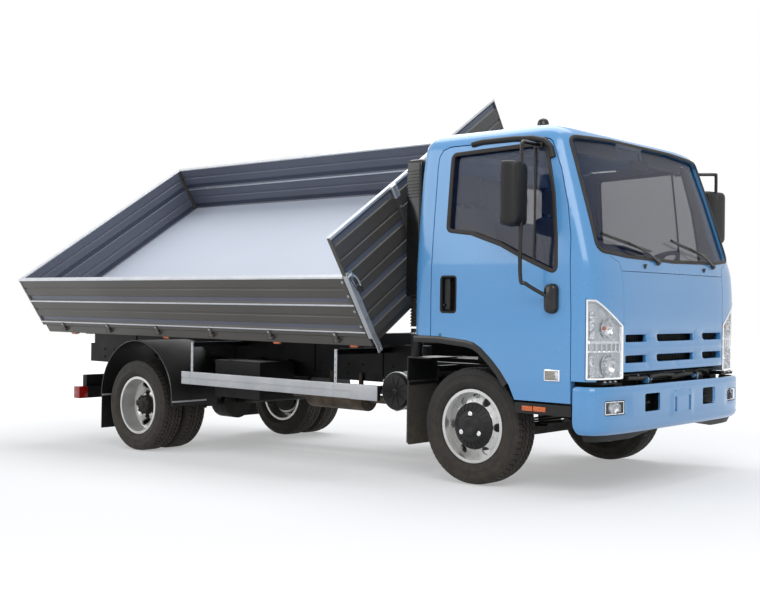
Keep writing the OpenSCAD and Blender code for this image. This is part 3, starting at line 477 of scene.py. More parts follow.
def ring_tree():
    """The piece's own mesh repeated round the Y axis, and welded where the copies meet."""
    made, start, end = tree("Repeat round an axle", [("Count", "Int", 12), ("Weld", "Float", 0.00002),
                                                      ("Material", "Material", None)])
    step = add_node(made, "ShaderNodeMath", {"operation": "DIVIDE"}, {0: 2 * math.pi},
                    {1: start.outputs["Count"]})
    number = add_node(made, "GeometryNodeInputIndex")
    angle = add_node(made, "ShaderNodeMath", {"operation": "MULTIPLY"}, None,
                     {0: number.outputs[0], 1: step.outputs[0]})
    turn = add_node(made, "ShaderNodeCombineXYZ", None, None, {"Y": angle.outputs[0]})
    spots = add_node(made, "GeometryNodePoints", None, None, {"Count": start.outputs["Count"]})
    placed = add_node(made, "GeometryNodeInstanceOnPoints", None, None, {
        "Points": spots.outputs[0], "Instance": start.outputs["Geometry"], "Rotation": turn.outputs[0]})
    real = add_node(made, "GeometryNodeRealizeInstances", None, None, {0: placed.outputs[0]})
    welded = add_node(made, "GeometryNodeMergeByDistance", None, None,
                      {"Geometry": real.outputs[0], "Distance": start.outputs["Weld"]})
    coloured = add_node(made, "GeometryNodeSetMaterial", None, None,
                        {"Geometry": welded.outputs[0], "Material": start.outputs["Material"]})
    made.links.new(coloured.outputs[0], end.inputs[0])
    return made


def row_tree():
    """The piece's own mesh repeated in a straight row."""
    made, start, end = tree("Repeat in a row", [("Count", "Int", 5), ("Step", "Vector", None),
                                                ("Material", "Material", None)])
    number = add_node(made, "GeometryNodeInputIndex")
    shift = add_node(made, "ShaderNodeVectorMath", {"operation": "SCALE"}, None,
                     {0: start.outputs["Step"], "Scale": number.outputs[0]})
    spots = add_node(made, "GeometryNodePoints", None, None,
                     {"Count": start.outputs["Count"], "Position": shift.outputs[0]})
    placed = add_node(made, "GeometryNodeInstanceOnPoints", None, None,
                      {"Points": spots.outputs[0], "Instance": start.outputs["Geometry"]})
    real = add_node(made, "GeometryNodeRealizeInstances", None, None, {0: placed.outputs[0]})
    coloured = add_node(made, "GeometryNodeSetMaterial", None, None,
                        {"Geometry": real.outputs[0], "Material": start.outputs["Material"]})
    made.links.new(coloured.outputs[0], end.inputs[0])
    return made


TREES = {}


def grown(mesh, tree_maker, values, name, matrix=None):
    """Runs a geometry tree on a mesh in metres, and gives back the result as a plain bmesh in metres."""
    if tree_maker not in TREES:
        TREES[tree_maker] = tree_maker()
    made = TREES[tree_maker]
    carrier = bpy.data.objects.new(name + "_source", mesh)
    bpy.context.scene.collection.objects.link(carrier)
    modifier = carrier.modifiers.new(made.name, "NODES")
    modifier.node_group = made
    sockets = {item.name: item.identifier for item in made.interface.items_tree if item.in_out == "INPUT"}
    for label, value in values.items():
        modifier[sockets[label]] = value
    seen = carrier.evaluated_get(bpy.context.evaluated_depsgraph_get())
    result = bpy.data.meshes.new_from_object(seen)
    carrier.modifiers.remove(modifier)
    bpy.data.objects.remove(carrier)
    if matrix is not None:
        result.transform(matrix)
    return result


def show(mesh, name, body, replaces=(), smooth=35, flip=False):
    """Makes a piece of a plain mesh that is already in the frame's metres."""
    if flip:
        mesh.flip_normals()
    mesh.shade_smooth()
    mesh.set_sharp_from_angle(angle=math.radians(smooth))
    piece = bpy.data.objects.new(name, mesh)
    bpy.context.scene.collection.objects.link(piece)
    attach(piece, body)
    if replaces:
        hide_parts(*replaces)
    return piece


def bolts(name, body, matrix, spots, radius, height, material):
    """Bolt heads at (point, axis) spots given in millimetres."""
    mesh = bpy.data.meshes.new(name)
    turn = matrix.to_3x3()
    mesh.from_pydata([matrix @ Vector(p) for p, _ in spots], [], [])
    axis = mesh.attributes.new("axis", "FLOAT_VECTOR", "POINT")
    for row, (_, d) in zip(axis.data, spots):
        row.vector = (turn @ Vector(d)).normalized()
    result = grown(mesh, bolt_tree, {"Head radius": radius * MM, "Head height": height * MM,
                                     "Material": material}, name)
    return show(result, name, body)


def as_mesh(bm, name, material=None):
    """A plain mesh of a bmesh in millimetres, turned to metres with no change of place."""
    bmesh.ops.transform(bm, matrix=Matrix.Scale(MM, 4), verts=bm.verts)
    mesh = bpy.data.meshes.new(name)
    bm.to_mesh(mesh)
    bm.free()
    if material:
        mesh.materials.append(material)
    return mesh


def metres(matrix):
    """The same place as a millimetre frame, for meshes that are already in metres."""
    return matrix @ Matrix.Scale(1 / MM, 4)


# ---- finishes ----
def linear(code):
    """An sRGB hex colour as linear RGBA."""
    parts = [int(code[i:i + 2], 16) / 255 for i in (1, 3, 5)]
    return [p / 12.92 if p <= 0.04045 else ((p + 0.055) / 1.055) ** 2.4 for p in parts] + [1.0]


def finish(name, colour, rough, second=None, patch=180, share=0.5, swing=0.06, grain=0.0, depth=0.0,
           stretch=(1, 1, 1), dust=None, dust_top=900, dust_amount=0.5, **sockets):
    """A finish with patches of a second colour, a roughness that wanders, a fine grain and dust low down.

    patch and grain are sizes in millimetres, depth is the grain's height in millimetres, and stretch
    lengthens the grain along an axis, as brushing or rolling does.
    """
    made = bpy.data.materials.new(name)
    made.use_nodes = True
    nodes = made.node_tree
    shader = nodes.nodes["Principled BSDF"]
    for key, value in sockets.items():
        shader.inputs[key.replace("_", " ")].default_value = value
    place = add_node(nodes, "ShaderNodeTexCoord").outputs["Object"]
    cloud = add_node(nodes, "ShaderNodeTexNoise", None, {"Scale": 1000 / patch, "Detail": 6.0},
                     {"Vector": place})
    mix = add_node(nodes, "ShaderNodeMix", {"data_type": "RGBA"},
                   {6: linear(colour), 7: linear(second or colour)})
    spread = add_node(nodes, "ShaderNodeMapRange", None,
                      {"From Min": 0.35, "From Max": 0.7, "To Max": share},
                      {"Value": cloud.outputs["Fac"]})
    nodes.links.new(spread.outputs[0], mix.inputs["Factor"])
    tint = mix.outputs[2]
    worn = add_node(nodes, "ShaderNodeMapRange", None,
                    {"From Min": 0.3, "From Max": 0.7, "To Min": rough - swing, "To Max": rough + swing},
                    {"Value": cloud.outputs["Fac"]})
    gloss = worn.outputs[0]
    if dust:
        height = add_node(nodes, "ShaderNodeSeparateXYZ", None, None, {0: place})
        low = add_node(nodes, "ShaderNodeMapRange", {"interpolation_type": "SMOOTHSTEP"},
                       {"From Min": dust_top * MM, "From Max": dust_top * MM * 0.25, "To Max": dust_amount},
                       {"Value": height.outputs["Z"]})
        speck = add_node(nodes, "ShaderNodeTexNoise", None,
                         {"Scale": 14.0, "Detail": 8.0, "Roughness": 0.65},
                         {"Vector": place})
        broken = add_node(nodes, "ShaderNodeMapRange", None, {"From Min": 0.35, "From Max": 0.65},
                          {"Value": speck.outputs["Fac"]})
        both = add_node(nodes, "ShaderNodeMath", {"operation": "MULTIPLY"}, None,
                        {0: low.outputs[0], 1: broken.outputs[0]})
        dirty = add_node(nodes, "ShaderNodeMix", {"data_type": "RGBA"}, {7: linear(dust)},
                         {"Factor": both.outputs[0], 6: tint})
        tint = dirty.outputs[2]
        dull = add_node(nodes, "ShaderNodeMath", {"operation": "MULTIPLY_ADD", "use_clamp": True}, {1: 0.35},
                        {0: both.outputs[0], 2: gloss})
        gloss = dull.outputs[0]
    nodes.links.new(tint, shader.inputs["Base Color"])
    nodes.links.new(gloss, shader.inputs["Roughness"])
    if depth:
        drawn = add_node(nodes, "ShaderNodeMapping", None, {"Scale": [1 / s for s in stretch]},
                         {"Vector": place})
        fine = add_node(nodes, "ShaderNodeTexNoise", None, {"Scale": 1000 / grain, "Detail": 4.0},
                        {"Vector": drawn.outputs[0]})
        bump = add_node(nodes, "ShaderNodeBump", None, {"Strength": 1.0, "Distance": depth * MM},
                        {"Height": fine.outputs["Fac"]})
        nodes.links.new(bump.outputs[0], shader.inputs["Normal"])
    return made


def glass(name, colour, rough, see_through):
    """Clear or tinted sheet: light goes straight through by the share see_through, and the rest is gloss."""
    made = bpy.data.materials.new(name)
    made.use_nodes = True
    nodes = made.node_tree
    shader = nodes.nodes["Principled BSDF"]
    shader.inputs["Roughness"].default_value = rough
    shader.inputs["IOR"].default_value = 1.52
    shader.inputs["Alpha"].default_value = 1 - see_through
    place = add_node(nodes, "ShaderNodeTexCoord").outputs["Object"]
    cloud = add_node(nodes, "ShaderNodeTexNoise", None, {"Scale": 3.0, "Detail": 4.0}, {"Vector": place})
    darker = [c * 0.8 for c in linear(colour)[:3]] + [1.0]
    mix = add_node(nodes, "ShaderNodeMix", {"data_type": "RGBA"}, {6: linear(colour), 7: darker},
                   {"Factor": cloud.outputs["Fac"]})
    nodes.links.new(mix.outputs[2], shader.inputs["Base Color"])
    return made


def woven(name, colour, second, thread):
    """Woven seat cloth: warp and weft as two crossed waves, thread is their spacing in millimetres."""
    made = bpy.data.materials.new(name)
    made.use_nodes = True
    nodes = made.node_tree
    shader = nodes.nodes["Principled BSDF"]
    shader.inputs["Roughness"].default_value = 0.9
    shader.inputs["Sheen Weight"].default_value = 0.3
    shader.inputs["Sheen Roughness"].default_value = 0.5
    place = add_node(nodes, "ShaderNodeTexCoord").outputs["Object"]
    waves = [add_node(nodes, "ShaderNodeTexWave", {"bands_direction": way},
                      {"Scale": 1000 / thread / 20, "Distortion": 0.4}, {"Vector": place})
             for way in ("Y", "Z")]
    cross = add_node(nodes, "ShaderNodeMath", {"operation": "MULTIPLY"}, None,
                     {0: waves[0].outputs["Fac"], 1: waves[1].outputs["Fac"]})
    mix = add_node(nodes, "ShaderNodeMix", {"data_type": "RGBA"}, {6: linear(second), 7: linear(colour)},
                   {"Factor": cross.outputs[0]})
    bump = add_node(nodes, "ShaderNodeBump", None, {"Strength": 0.6, "Distance": 0.6 * MM},
                    {"Height": cross.outputs[0]})
    nodes.links.new(mix.outputs[2], shader.inputs["Base Color"])
    nodes.links.new(bump.outputs[0], shader.inputs["Normal"])
    return made


def tyre_rubber(name):
    """Carbon-black tyre rubber: brownish where weathered, dusty in the tread, with fine moulding lines."""
    return finish(name, "#171513", 0.7, "#262220", patch=60, share=0.6, swing=0.08, grain=3, depth=0.15,
                  dust="#574E42", dust_top=760, dust_amount=0.5)


def finishes():
    """Every finish on the truck, by a short key."""
    look = bpy.context.scene.truck_look
    return {
        # stoved two-coat enamel: a deep gloss with the faint orange peel of spraying
        "paint": finish("Stoved enamel, light blue", look.cab_colour, 0.3, look.cab_shade, patch=500,
                        share=0.35,
                        swing=0.04, grain=6, depth=0.03, dust="#8C8A80", dust_top=620, dust_amount=0.12,
                        Coat_Weight=0.7, Coat_Roughness=0.06),
        # powder coating on rolled steel sections: satin, cool grey, rubbed where loads slide
        "body": finish("Powder-coated steel, slate grey", look.body_colour, 0.42, look.body_shade, patch=700,
                       share=0.35, swing=0.04),
        # the same slate grey made darker for the deep grooves on the boards' inside: painted shade in the
        # channels
        "body_channel_shade": finish("Powder-coated steel, slate grey in the channels", "#3B4154", 0.5, "#333847",
                            patch=500, share=0.4, swing=0.05),
        # warm grey on the outer faces: partly the coating's own colour, partly painted reflection of the
        # warm ground; the grooves keep the slate grey
        "body_out": finish("Powder-coated steel, warm grey", look.outer_colour_with_reflection, 0.4, look.outer_shade_with_reflection,
                           patch=700,
                           share=0.35, swing=0.04, dust="#77705F",
                           dust_top=900, dust_amount=0.2),
        # cold-rolled floor sheet, painted pale: nearly matte, with long faint marks along the body
        "floor": finish("Painted floor sheet, pale grey", look.floor_colour, 0.5, "#C6CDD9", patch=900,
                        share=0.4,
                        swing=0.05),
        # anodised aluminium: fine extrusion lines along its length
        "rail": finish("Anodised aluminium extrusion", "#D9DCE0", 0.34, "#B9BEC5", patch=90, share=0.5,
                       swing=0.08,
                       grain=1.2, depth=0.04, stretch=(60, 1, 1), Metallic=0.75),
        "guard": finish("Anodised aluminium, matt", "#B4B6B9", 0.45, "#9C9FA3", patch=140, share=0.5,
                        swing=0.06,
                        grain=1.5, depth=0.04, stretch=(60, 1, 1), dust="#8B857A", dust_top=700,
                        dust_amount=0.3,
                        Metallic=0.55),
        # hot-dip and electro zinc: soft spangle, pale bluish grey
        "zinc": finish("Zinc-plated steel", "#B8BCC0", 0.38, "#8E9499", patch=12, share=0.6, swing=0.1,
                       grain=4,
                       depth=0.05, Metallic=0.9),
        # chassis paint: black, satin, with road dust on it
        "chassis": finish("Chassis paint, black", "#08080A", 0.5, "#100F0F", patch=120, share=0.6,
                          swing=0.08,
                          grain=5, depth=0.1, dust="#24201C", dust_top=700, dust_amount=0.25,
                          Specular_IOR_Level=0.25),
        "iron": finish("Cast iron, oily", "#191817", 0.55, "#26231F", patch=40, share=0.6, swing=0.12,
                       grain=2,
                       depth=0.2, dust="#39332B", dust_top=700, dust_amount=0.3, Metallic=0.2,
                       Specular_IOR_Level=0.3),
        # moulded polypropylene: a leather-like grain and a dull shine
        "plastic": finish("Grained polypropylene, black", "#0B0B0C", 0.48, "#131212", patch=220, share=0.4,
                          swing=0.06, grain=1.6, depth=0.08, dust="#3A352E", dust_top=650, dust_amount=0.15,
                          Specular_IOR_Level=0.4),
        "gloss": finish("Gloss polymer, black", "#0D0D0E", 0.18, "#161617", patch=200, share=0.4,
                        swing=0.04),
        "seal": finish("Rubber seal, brown-black", "#1D1815", 0.6, "#2C2420", patch=60, share=0.5,
                       swing=0.06,
                       grain=1.5, depth=0.05),
        # dark brown: partly heat staining, partly painted shade for the muffler's place in the shadow under
        # the body
        "exhaust": finish("Aluminised steel, heat-stained", "#574E43", 0.55, "#3A3027", patch=90, share=0.8,
                          swing=0.12, grain=3, depth=0.08, dust="#6B6152", dust_top=600, dust_amount=0.4,
                          Metallic=0.7),
        "silver": finish("Silver wheel enamel", "#D3D3D2", 0.3, "#B9B8B5", patch=110, share=0.5, swing=0.06,
                         grain=3, depth=0.02, dust="#8A8171", dust_top=520, dust_amount=0.25, Metallic=0.7,
                         Coat_Weight=0.25),
        "chrome": finish("Chrome plate", "#E6E8EA", 0.09, "#D6D9DC", patch=70, share=0.5, swing=0.03,
                         Metallic=1.0),
        # the dark second colour in small patches paints the facets' dark reflections into the bright metal
        "reflector": finish("Vacuum-metallised reflector with painted facet reflections", "#F1F3F5", 0.14, "#6C7279", patch=18, share=0.95,
                            swing=0.08, grain=18, depth=3.0, Metallic=0.75),
        "housing": finish("Metallised lamp housing, pale grey", "#C3C8CC", 0.28, "#9AA0A6", patch=50,
                          share=0.6,
                          swing=0.06, Metallic=0.55),
        "flap": finish("Rubber sheet, dusty", "#38342E", 0.75, "#4B463D", patch=14, share=0.9, swing=0.06,
                       grain=4,
                       depth=0.3, dust="#6E6657", dust_top=500, dust_amount=0.6),
        "tyre": tyre_rubber("Tyre rubber, weathered"),
        "glass": glass("Toughened glass, blue-grey tint", "#1C2B4E", 0.02, 0.62),
        "lens": glass("Clear polycarbonate", "#C8CED2", 0.03, 0.9),
        "mirror": finish("Silvered mirror glass", "#DDE2E6", 0.03, "#CDD3D8", patch=120, share=0.4,
                         swing=0.01,
                         Metallic=1.0),
        "lens_orange": finish("Moulded acrylic, smoke over amber", "#A9A39A", 0.2, "#7B6C5C", patch=12,
                              share=0.7,
                              swing=0.05, grain=4, depth=0.4, Coat_Weight=0.6),
        "orange": finish("Moulded acrylic, amber", "#E06A12", 0.22, "#B8480A", patch=8, share=0.6,
                         swing=0.05,
                         grain=3, depth=0.3, Coat_Weight=0.6),
        "red": finish("Moulded acrylic, red", "#A0140F", 0.24, "#6E0C0A", patch=8, share=0.6, swing=0.05,
                      grain=3,
                      depth=0.3, Coat_Weight=0.6),
        "red_paint": finish("Enamel, signal red", "#A8241C", 0.45, "#8A1C17", patch=60, share=0.5,
                            swing=0.06,
                            grain=4, depth=0.05),
        "cloth": woven("Woven seat cloth, grey-beige", "#B8B6AC", "#8A887F", 2.4),
        "trim": finish("Grained trim, stone grey", "#8A8C88", 0.62, "#777A77", patch=160, share=0.4,
                       swing=0.05,
                       grain=1.8, depth=0.15),
        "dark_trim": finish("Grained trim, charcoal", "#3A3B3C", 0.6, "#2E2F30", patch=160, share=0.4,
                            swing=0.05,
                            grain=1.8, depth=0.15),
        "hose": finish("Braided rubber hose, grey", "#55524C", 0.6, "#3C3A36", patch=9, share=0.8,
                       swing=0.08,
                       grain=2, depth=0.3),
    }


LOOKS = {}


def look(key):
    """A finish by its key, made when the first one is asked for."""
    if not LOOKS:
        LOOKS.update(finishes())
    return LOOKS[key]


def looks(*keys):
    return [look(key) for key in keys]


def repaint(node, key):
    """Gives a carried-over node a finish."""
    slots = frame["nodes"][node].data.materials
    if not slots:
        slots.append(look(key))
    for i in range(len(slots)):
        slots[i] = look(key)


# ---- settings a user would change ----
class TruckSizes(bpy.types.PropertyGroup):
    panel_gap: FloatProperty(name="Panel gap", description="Width of the shut lines, in millimetres",
                             default=6.0, min=3.0, max=10.0)
    seam_depth: FloatProperty(name="Shut line depth",
                              description="Depth of the panels' edges, in millimetres",
                              default=14.0, min=5.0, max=30.0)
    tread_pitches: IntProperty(name="Tread pitches", description="Tread patterns round a tyre",
                               default=60, min=30, max=90)
    tread_depth: FloatProperty(name="Tread depth", description="Depth of the grooves, in millimetres",
                               default=11.0, min=4.0, max=16.0)
    far_mirror_lead: FloatProperty(name="Far mirror's lead", default=190.0, min=0.0, max=220.0,
                                   description="How far forward of its mounts the left mirror stands, "
                                               "in millimetres")
    board_rails: FloatProperty(name="Rail height", description="Height of the bright rails, in millimetres",
                               default=14.0, min=8.0, max=24.0)


class TruckLook(bpy.types.PropertyGroup):
    cab_colour: StringProperty(name="Cab colour", description="sRGB hex", default="#5A9FD8")
    cab_shade: StringProperty(name="Cab colour's shade", description="sRGB hex", default="#5698D2")
    body_colour: StringProperty(name="Body colour, inside", description="sRGB hex", default="#5E6270")
    body_shade: StringProperty(name="Body colour's shade", description="sRGB hex", default="#51545F")
    # the outside's warm grey is partly the coating's colour and partly painted reflection of the ground
    outer_colour_with_reflection: StringProperty(name="Body colour outside, with painted ground reflection", description="sRGB hex", default="#4C4945")
    outer_shade_with_reflection: StringProperty(name="Outer colour's shade, with painted ground reflection", description="sRGB hex", default="#403E3B")
    floor_colour: StringProperty(name="Floor colour", description="sRGB hex", default="#CDD4E1")


# ---- the cab's outside: the same stations as the frame's own shell ----
NOSE_DEPTH = 200.0
NOSE_POWER = 5
CORNER_R = 60.0
SKIN = 2.5


def cab_stations():
    """Height, how far in at each side, back from the nose, forward from the back."""
    return [(573, 8, 5, 0), (760, 2, 0, 0), (1200, 0, 2, 0), (1369, 2, 13, 0), (1480, 9, 40, 0),
            (ROOF_Z - 390, 47, 170, 0), (ROOF_Z - 170, 70, 243, 8), (ROOF_Z - 100, 83, 267, 16),
            (ROOF_Z - 55, 110, 300, 35), (ROOF_Z - 25, 150, 355, 65), (ROOF_Z - 7, 225, 435, 110),
            (ROOF_Z, 355, 535, 180)]


def smooth_stations(parts=10):
    """The stations with smooth steps between them."""
    rows = np.array(cab_stations(), float)
    slopes = np.zeros_like(rows)
    gaps = np.hypot(np.diff(rows[:, 0]), np.diff(rows[:, 1]))
    run = np.concatenate([[0], np.cumsum(gaps)])
    steps = np.diff(rows, axis=0) / gaps[:, None]
    for i in range(1, len(rows) - 1):
        product = steps[i - 1] * steps[i]
        mean = 2 * product / np.where(steps[i - 1] + steps[i] == 0, 1, steps[i - 1] + steps[i])
        slopes[i] = np.where(product > 0, mean, 0)
    slopes[0], slopes[-1] = steps[0], steps[-1]
    made, reach = [], []
    for i in range(len(rows) - 1):
        for k in range(parts):
            t = k / parts
            h = gaps[i]
            made.append((2 * t ** 3 - 3 * t * t + 1) * rows[i] + (t ** 3 - 2 * t * t + t) * h * slopes[i]
                        + (3 * t * t - 2 * t ** 3) * rows[i + 1] + (t ** 3 - t * t) * h * slopes[i + 1])
            reach.append(run[i] + t * h)
    return np.array(made + [rows[-1]]), np.array(reach + [run[-1]])


STATIONS, REACH = smooth_stations()


def sizes_at(z):
    """Half width, front and back of the cab at heights below the roof's edge."""
    side = HALF_CAB - np.interp(z, STATIONS[:, 0], STATIONS[:, 1])
    front = CAB_NOSE - np.interp(z, STATIONS[:, 0], STATIONS[:, 2])
    back = -CAB_BACK + np.interp(z, STATIONS[:, 0], STATIONS[:, 3])
    return side, front, back


def side_y(x, z):
    """Distance of the cab's side from the centreline."""
    side, front, _ = sizes_at(z)
    bend = np.clip((x - front + NOSE_DEPTH) / NOSE_DEPTH, 0, 0.999)
    return side * (1 - bend ** NOSE_POWER) ** (1 / NOSE_POWER)


def nose_x(y, z):
    """How far forward the cab's front is."""
    side, front, _ = sizes_at(z)
    bend = np.clip(np.abs(y) / side, 0, 0.9995)
    return front - NOSE_DEPTH + NOSE_DEPTH * (1 - bend ** NOSE_POWER) ** (1 / NOSE_POWER)


def half_ring(station, steps=48):
    """One half of the ring round the cab at a station, from the nose's middle to the back's middle."""
    _, inset, nose, rear = station
    side, front, back = HALF_CAB - inset, CAB_NOSE - nose, -CAB_BACK + rear
    points = []
    for i in range(steps + 1):
        t = math.tan(math.radians(45) * i / steps) if i < steps else 1.0
        scale = (1 + t ** NOSE_POWER) ** (-1 / NOSE_POWER)
        points.append((front - NOSE_DEPTH + NOSE_DEPTH * scale, side * t * scale))
    for i in range(1, steps + 1):
        t = math.tan(math.radians(45) * (1 - i / steps))
        scale = (1 + t ** NOSE_POWER) ** (-1 / NOSE_POWER)
        points.append((front - NOSE_DEPTH + NOSE_DEPTH * t * scale, side * scale))
    for i in range(1, steps + 1):
        points.append((front - NOSE_DEPTH + (back + CORNER_R - front + NOSE_DEPTH) * i / steps, side))
    for i in range(1, 13):
        a = math.radians(90 * i / 12)
        points.append((back + CORNER_R - CORNER_R * math.sin(a), side - CORNER_R + CORNER_R * math.cos(a)))
    for i in range(1, 13):
        points.append((back, (side - CORNER_R) * (1 - i / 12)))
    return np.array(points)


class CabSkin:
    """The cab's outside as a sheet: across is the way round from the nose, up is the way over the roof."""

    def __init__(self, columns=420):
        rings = [half_ring(station) for station in STATIONS]
        middle = rings[20]
        self.length = np.hypot(*np.diff(middle, axis=0).T).sum()
        self.columns = np.linspace(0, self.length, columns)
        self.table = np.empty((len(rings), columns, 2))
        for i, ring in enumerate(rings):
            run = np.concatenate([[0], np.cumsum(np.hypot(*np.diff(ring, axis=0).T))])
            share = run / run[-1] * self.length
            self.table[i, :, 0] = np.interp(self.columns, share, ring[:, 0])
            self.table[i, :, 1] = np.interp(self.columns, share, ring[:, 1])

    def row(self, z):
        """The sheet's height for a height above the ground, below the roof's edge."""
        return np.interp(z, STATIONS[:, 0], REACH)

    def at(self, points, inward=0.0):
        """Points of the sheet in space."""
        across, up = np.abs(points[:, 0]), points[:, 1]
        row = np.clip(np.interp(up, REACH, np.arange(len(REACH))), 0, len(REACH) - 1.001)
        column = np.clip(across / self.columns[1], 0, len(self.columns) - 1.001)
        i, j = row.astype(int), column.astype(int)
        u, v = (row - i)[:, None], (column - j)[:, None]
        t = self.table
        flat = (t[i, j] * (1 - u) * (1 - v) + t[i + 1, j] * u * (1 - v)
                + t[i, j + 1] * (1 - u) * v + t[i + 1, j + 1] * u * v)
        z = np.interp(up, REACH, STATIONS[:, 0])
        y = flat[:, 1] * np.where(points[:, 0] < 0, -1, 1)
        return np.column_stack([flat[:, 0], y, z])

    def side_point(self, x, z, side=1):
        """Where a point of the side, given by X and Z, lies on the sheet."""
        row = np.interp(self.row(z), REACH, np.arange(len(REACH)))
        i = min(int(row), len(REACH) - 2)
        u = row - i
        xs = self.table[i, :, 0] * (1 - u) + self.table[i + 1, :, 0] * u
        first = int(len(xs) * 0.02)
        order = slice(first, None)
        return side * float(np.interp(-x, -xs[order], self.columns[order])), float(self.row(z))

    def nose_point(self, y, z):
        """Where a point of the front, given by Y and Z, lies on the sheet."""
        row = np.interp(self.row(z), REACH, np.arange(len(REACH)))
        i = min(int(row), len(REACH) - 2)
        u = row - i
        ys = self.table[i, :, 1] * (1 - u) + self.table[i + 1, :, 1] * u
        last = int(np.argmax(ys))
        found = float(np.interp(abs(y), ys[:last + 1], self.columns[:last + 1]))
        return (found if y >= 0 else -found), float(self.row(z))


SHEET = CabSkin()


def door_outline(grow=0.0):
    """The door in X and Z, grown by a gap."""
    points = [(-285, 945), (-225, 945), (0, 925), (60, 912), (118, 880), (200, 810), (270, 740), (330, 660),
              (370, 573), (769, 573), (769, 1100), (753, 1561), (720, 1750), (655, 1980), (582, 2150),
              (560, 2168), (520, 2178), (-200, 2178), (-255, 2160), (-280, 2120), (-285, 2050)]
    return grown_outline(points, grow)


def window_outline(grow=0.0):
    points = [(-172, 1630), (20, 1606), (250, 1530), (420, 1448), (668, 1345), (655, 1560), (620, 1830),
              (545, 2148), (-172, 2128)]
    return grown_outline(rounded(points, 38, 5), grow)


def screen_outline(grow=0.0):
    """The windscreen in Y and Z."""
    points = [(-885, 1485), (-600, 1460), (0, 1448), (600, 1460), (885, 1485), (868, 1800), (845, 2185),
              (400, 2205), (-400, 2205), (-845, 2185), (-868, 1800)]
    return grown_outline(rounded(points, [60, 200, 300, 200, 60, 200, 60, 200, 200, 60, 200], 5), grow)


def nose_panel_outline(grow=0.0):
    points = [(-687, 755), (687, 755), (687, 1180), (699, 1369), (-699, 1369), (-687, 1180)]
    return grown_outline(points, grow)


def grown_outline(points, distance):
    """An outline with its edges moved outwards."""
    if not distance:
        return [tuple(p) for p in points]
    area = sum(a[0] * b[1] - b[0] * a[1] for a, b in zip(points, points[1:] + points[:1]))
    sign = 1 if area > 0 else -1
    made = []
    for i, p in enumerate(points):
        a, q = Vector(points[i - 1]), Vector(points[(i + 1) % len(points)])
        p = Vector(p)
        before, after = (p - a).normalized(), (q - p).normalized()
        n0 = Vector((before.y, -before.x)) * sign
        n1 = Vector((after.y, -after.x)) * sign
        middle = (n0 + n1).normalized()
        made.append(tuple(p + middle * distance / max(middle.dot(n0), 0.35)))
    return made


# ---- the stage ----
def light_paths(owner):
    """1 where a camera, glossy or transmission ray looks straight at the backdrop, and 0 elsewhere."""
    paths = add_node(owner, "ShaderNodeLightPath")
    one = add_node(owner, "ShaderNodeMath", {"operation": "MAXIMUM"}, None,
                   {0: paths.outputs["Is Camera Ray"], 1: paths.outputs["Is Glossy Ray"]})
    return add_node(owner, "ShaderNodeMath", {"operation": "MAXIMUM"}, None,
                    {0: one.outputs[0], 1: paths.outputs["Is Transmission Ray"]}).outputs[0]


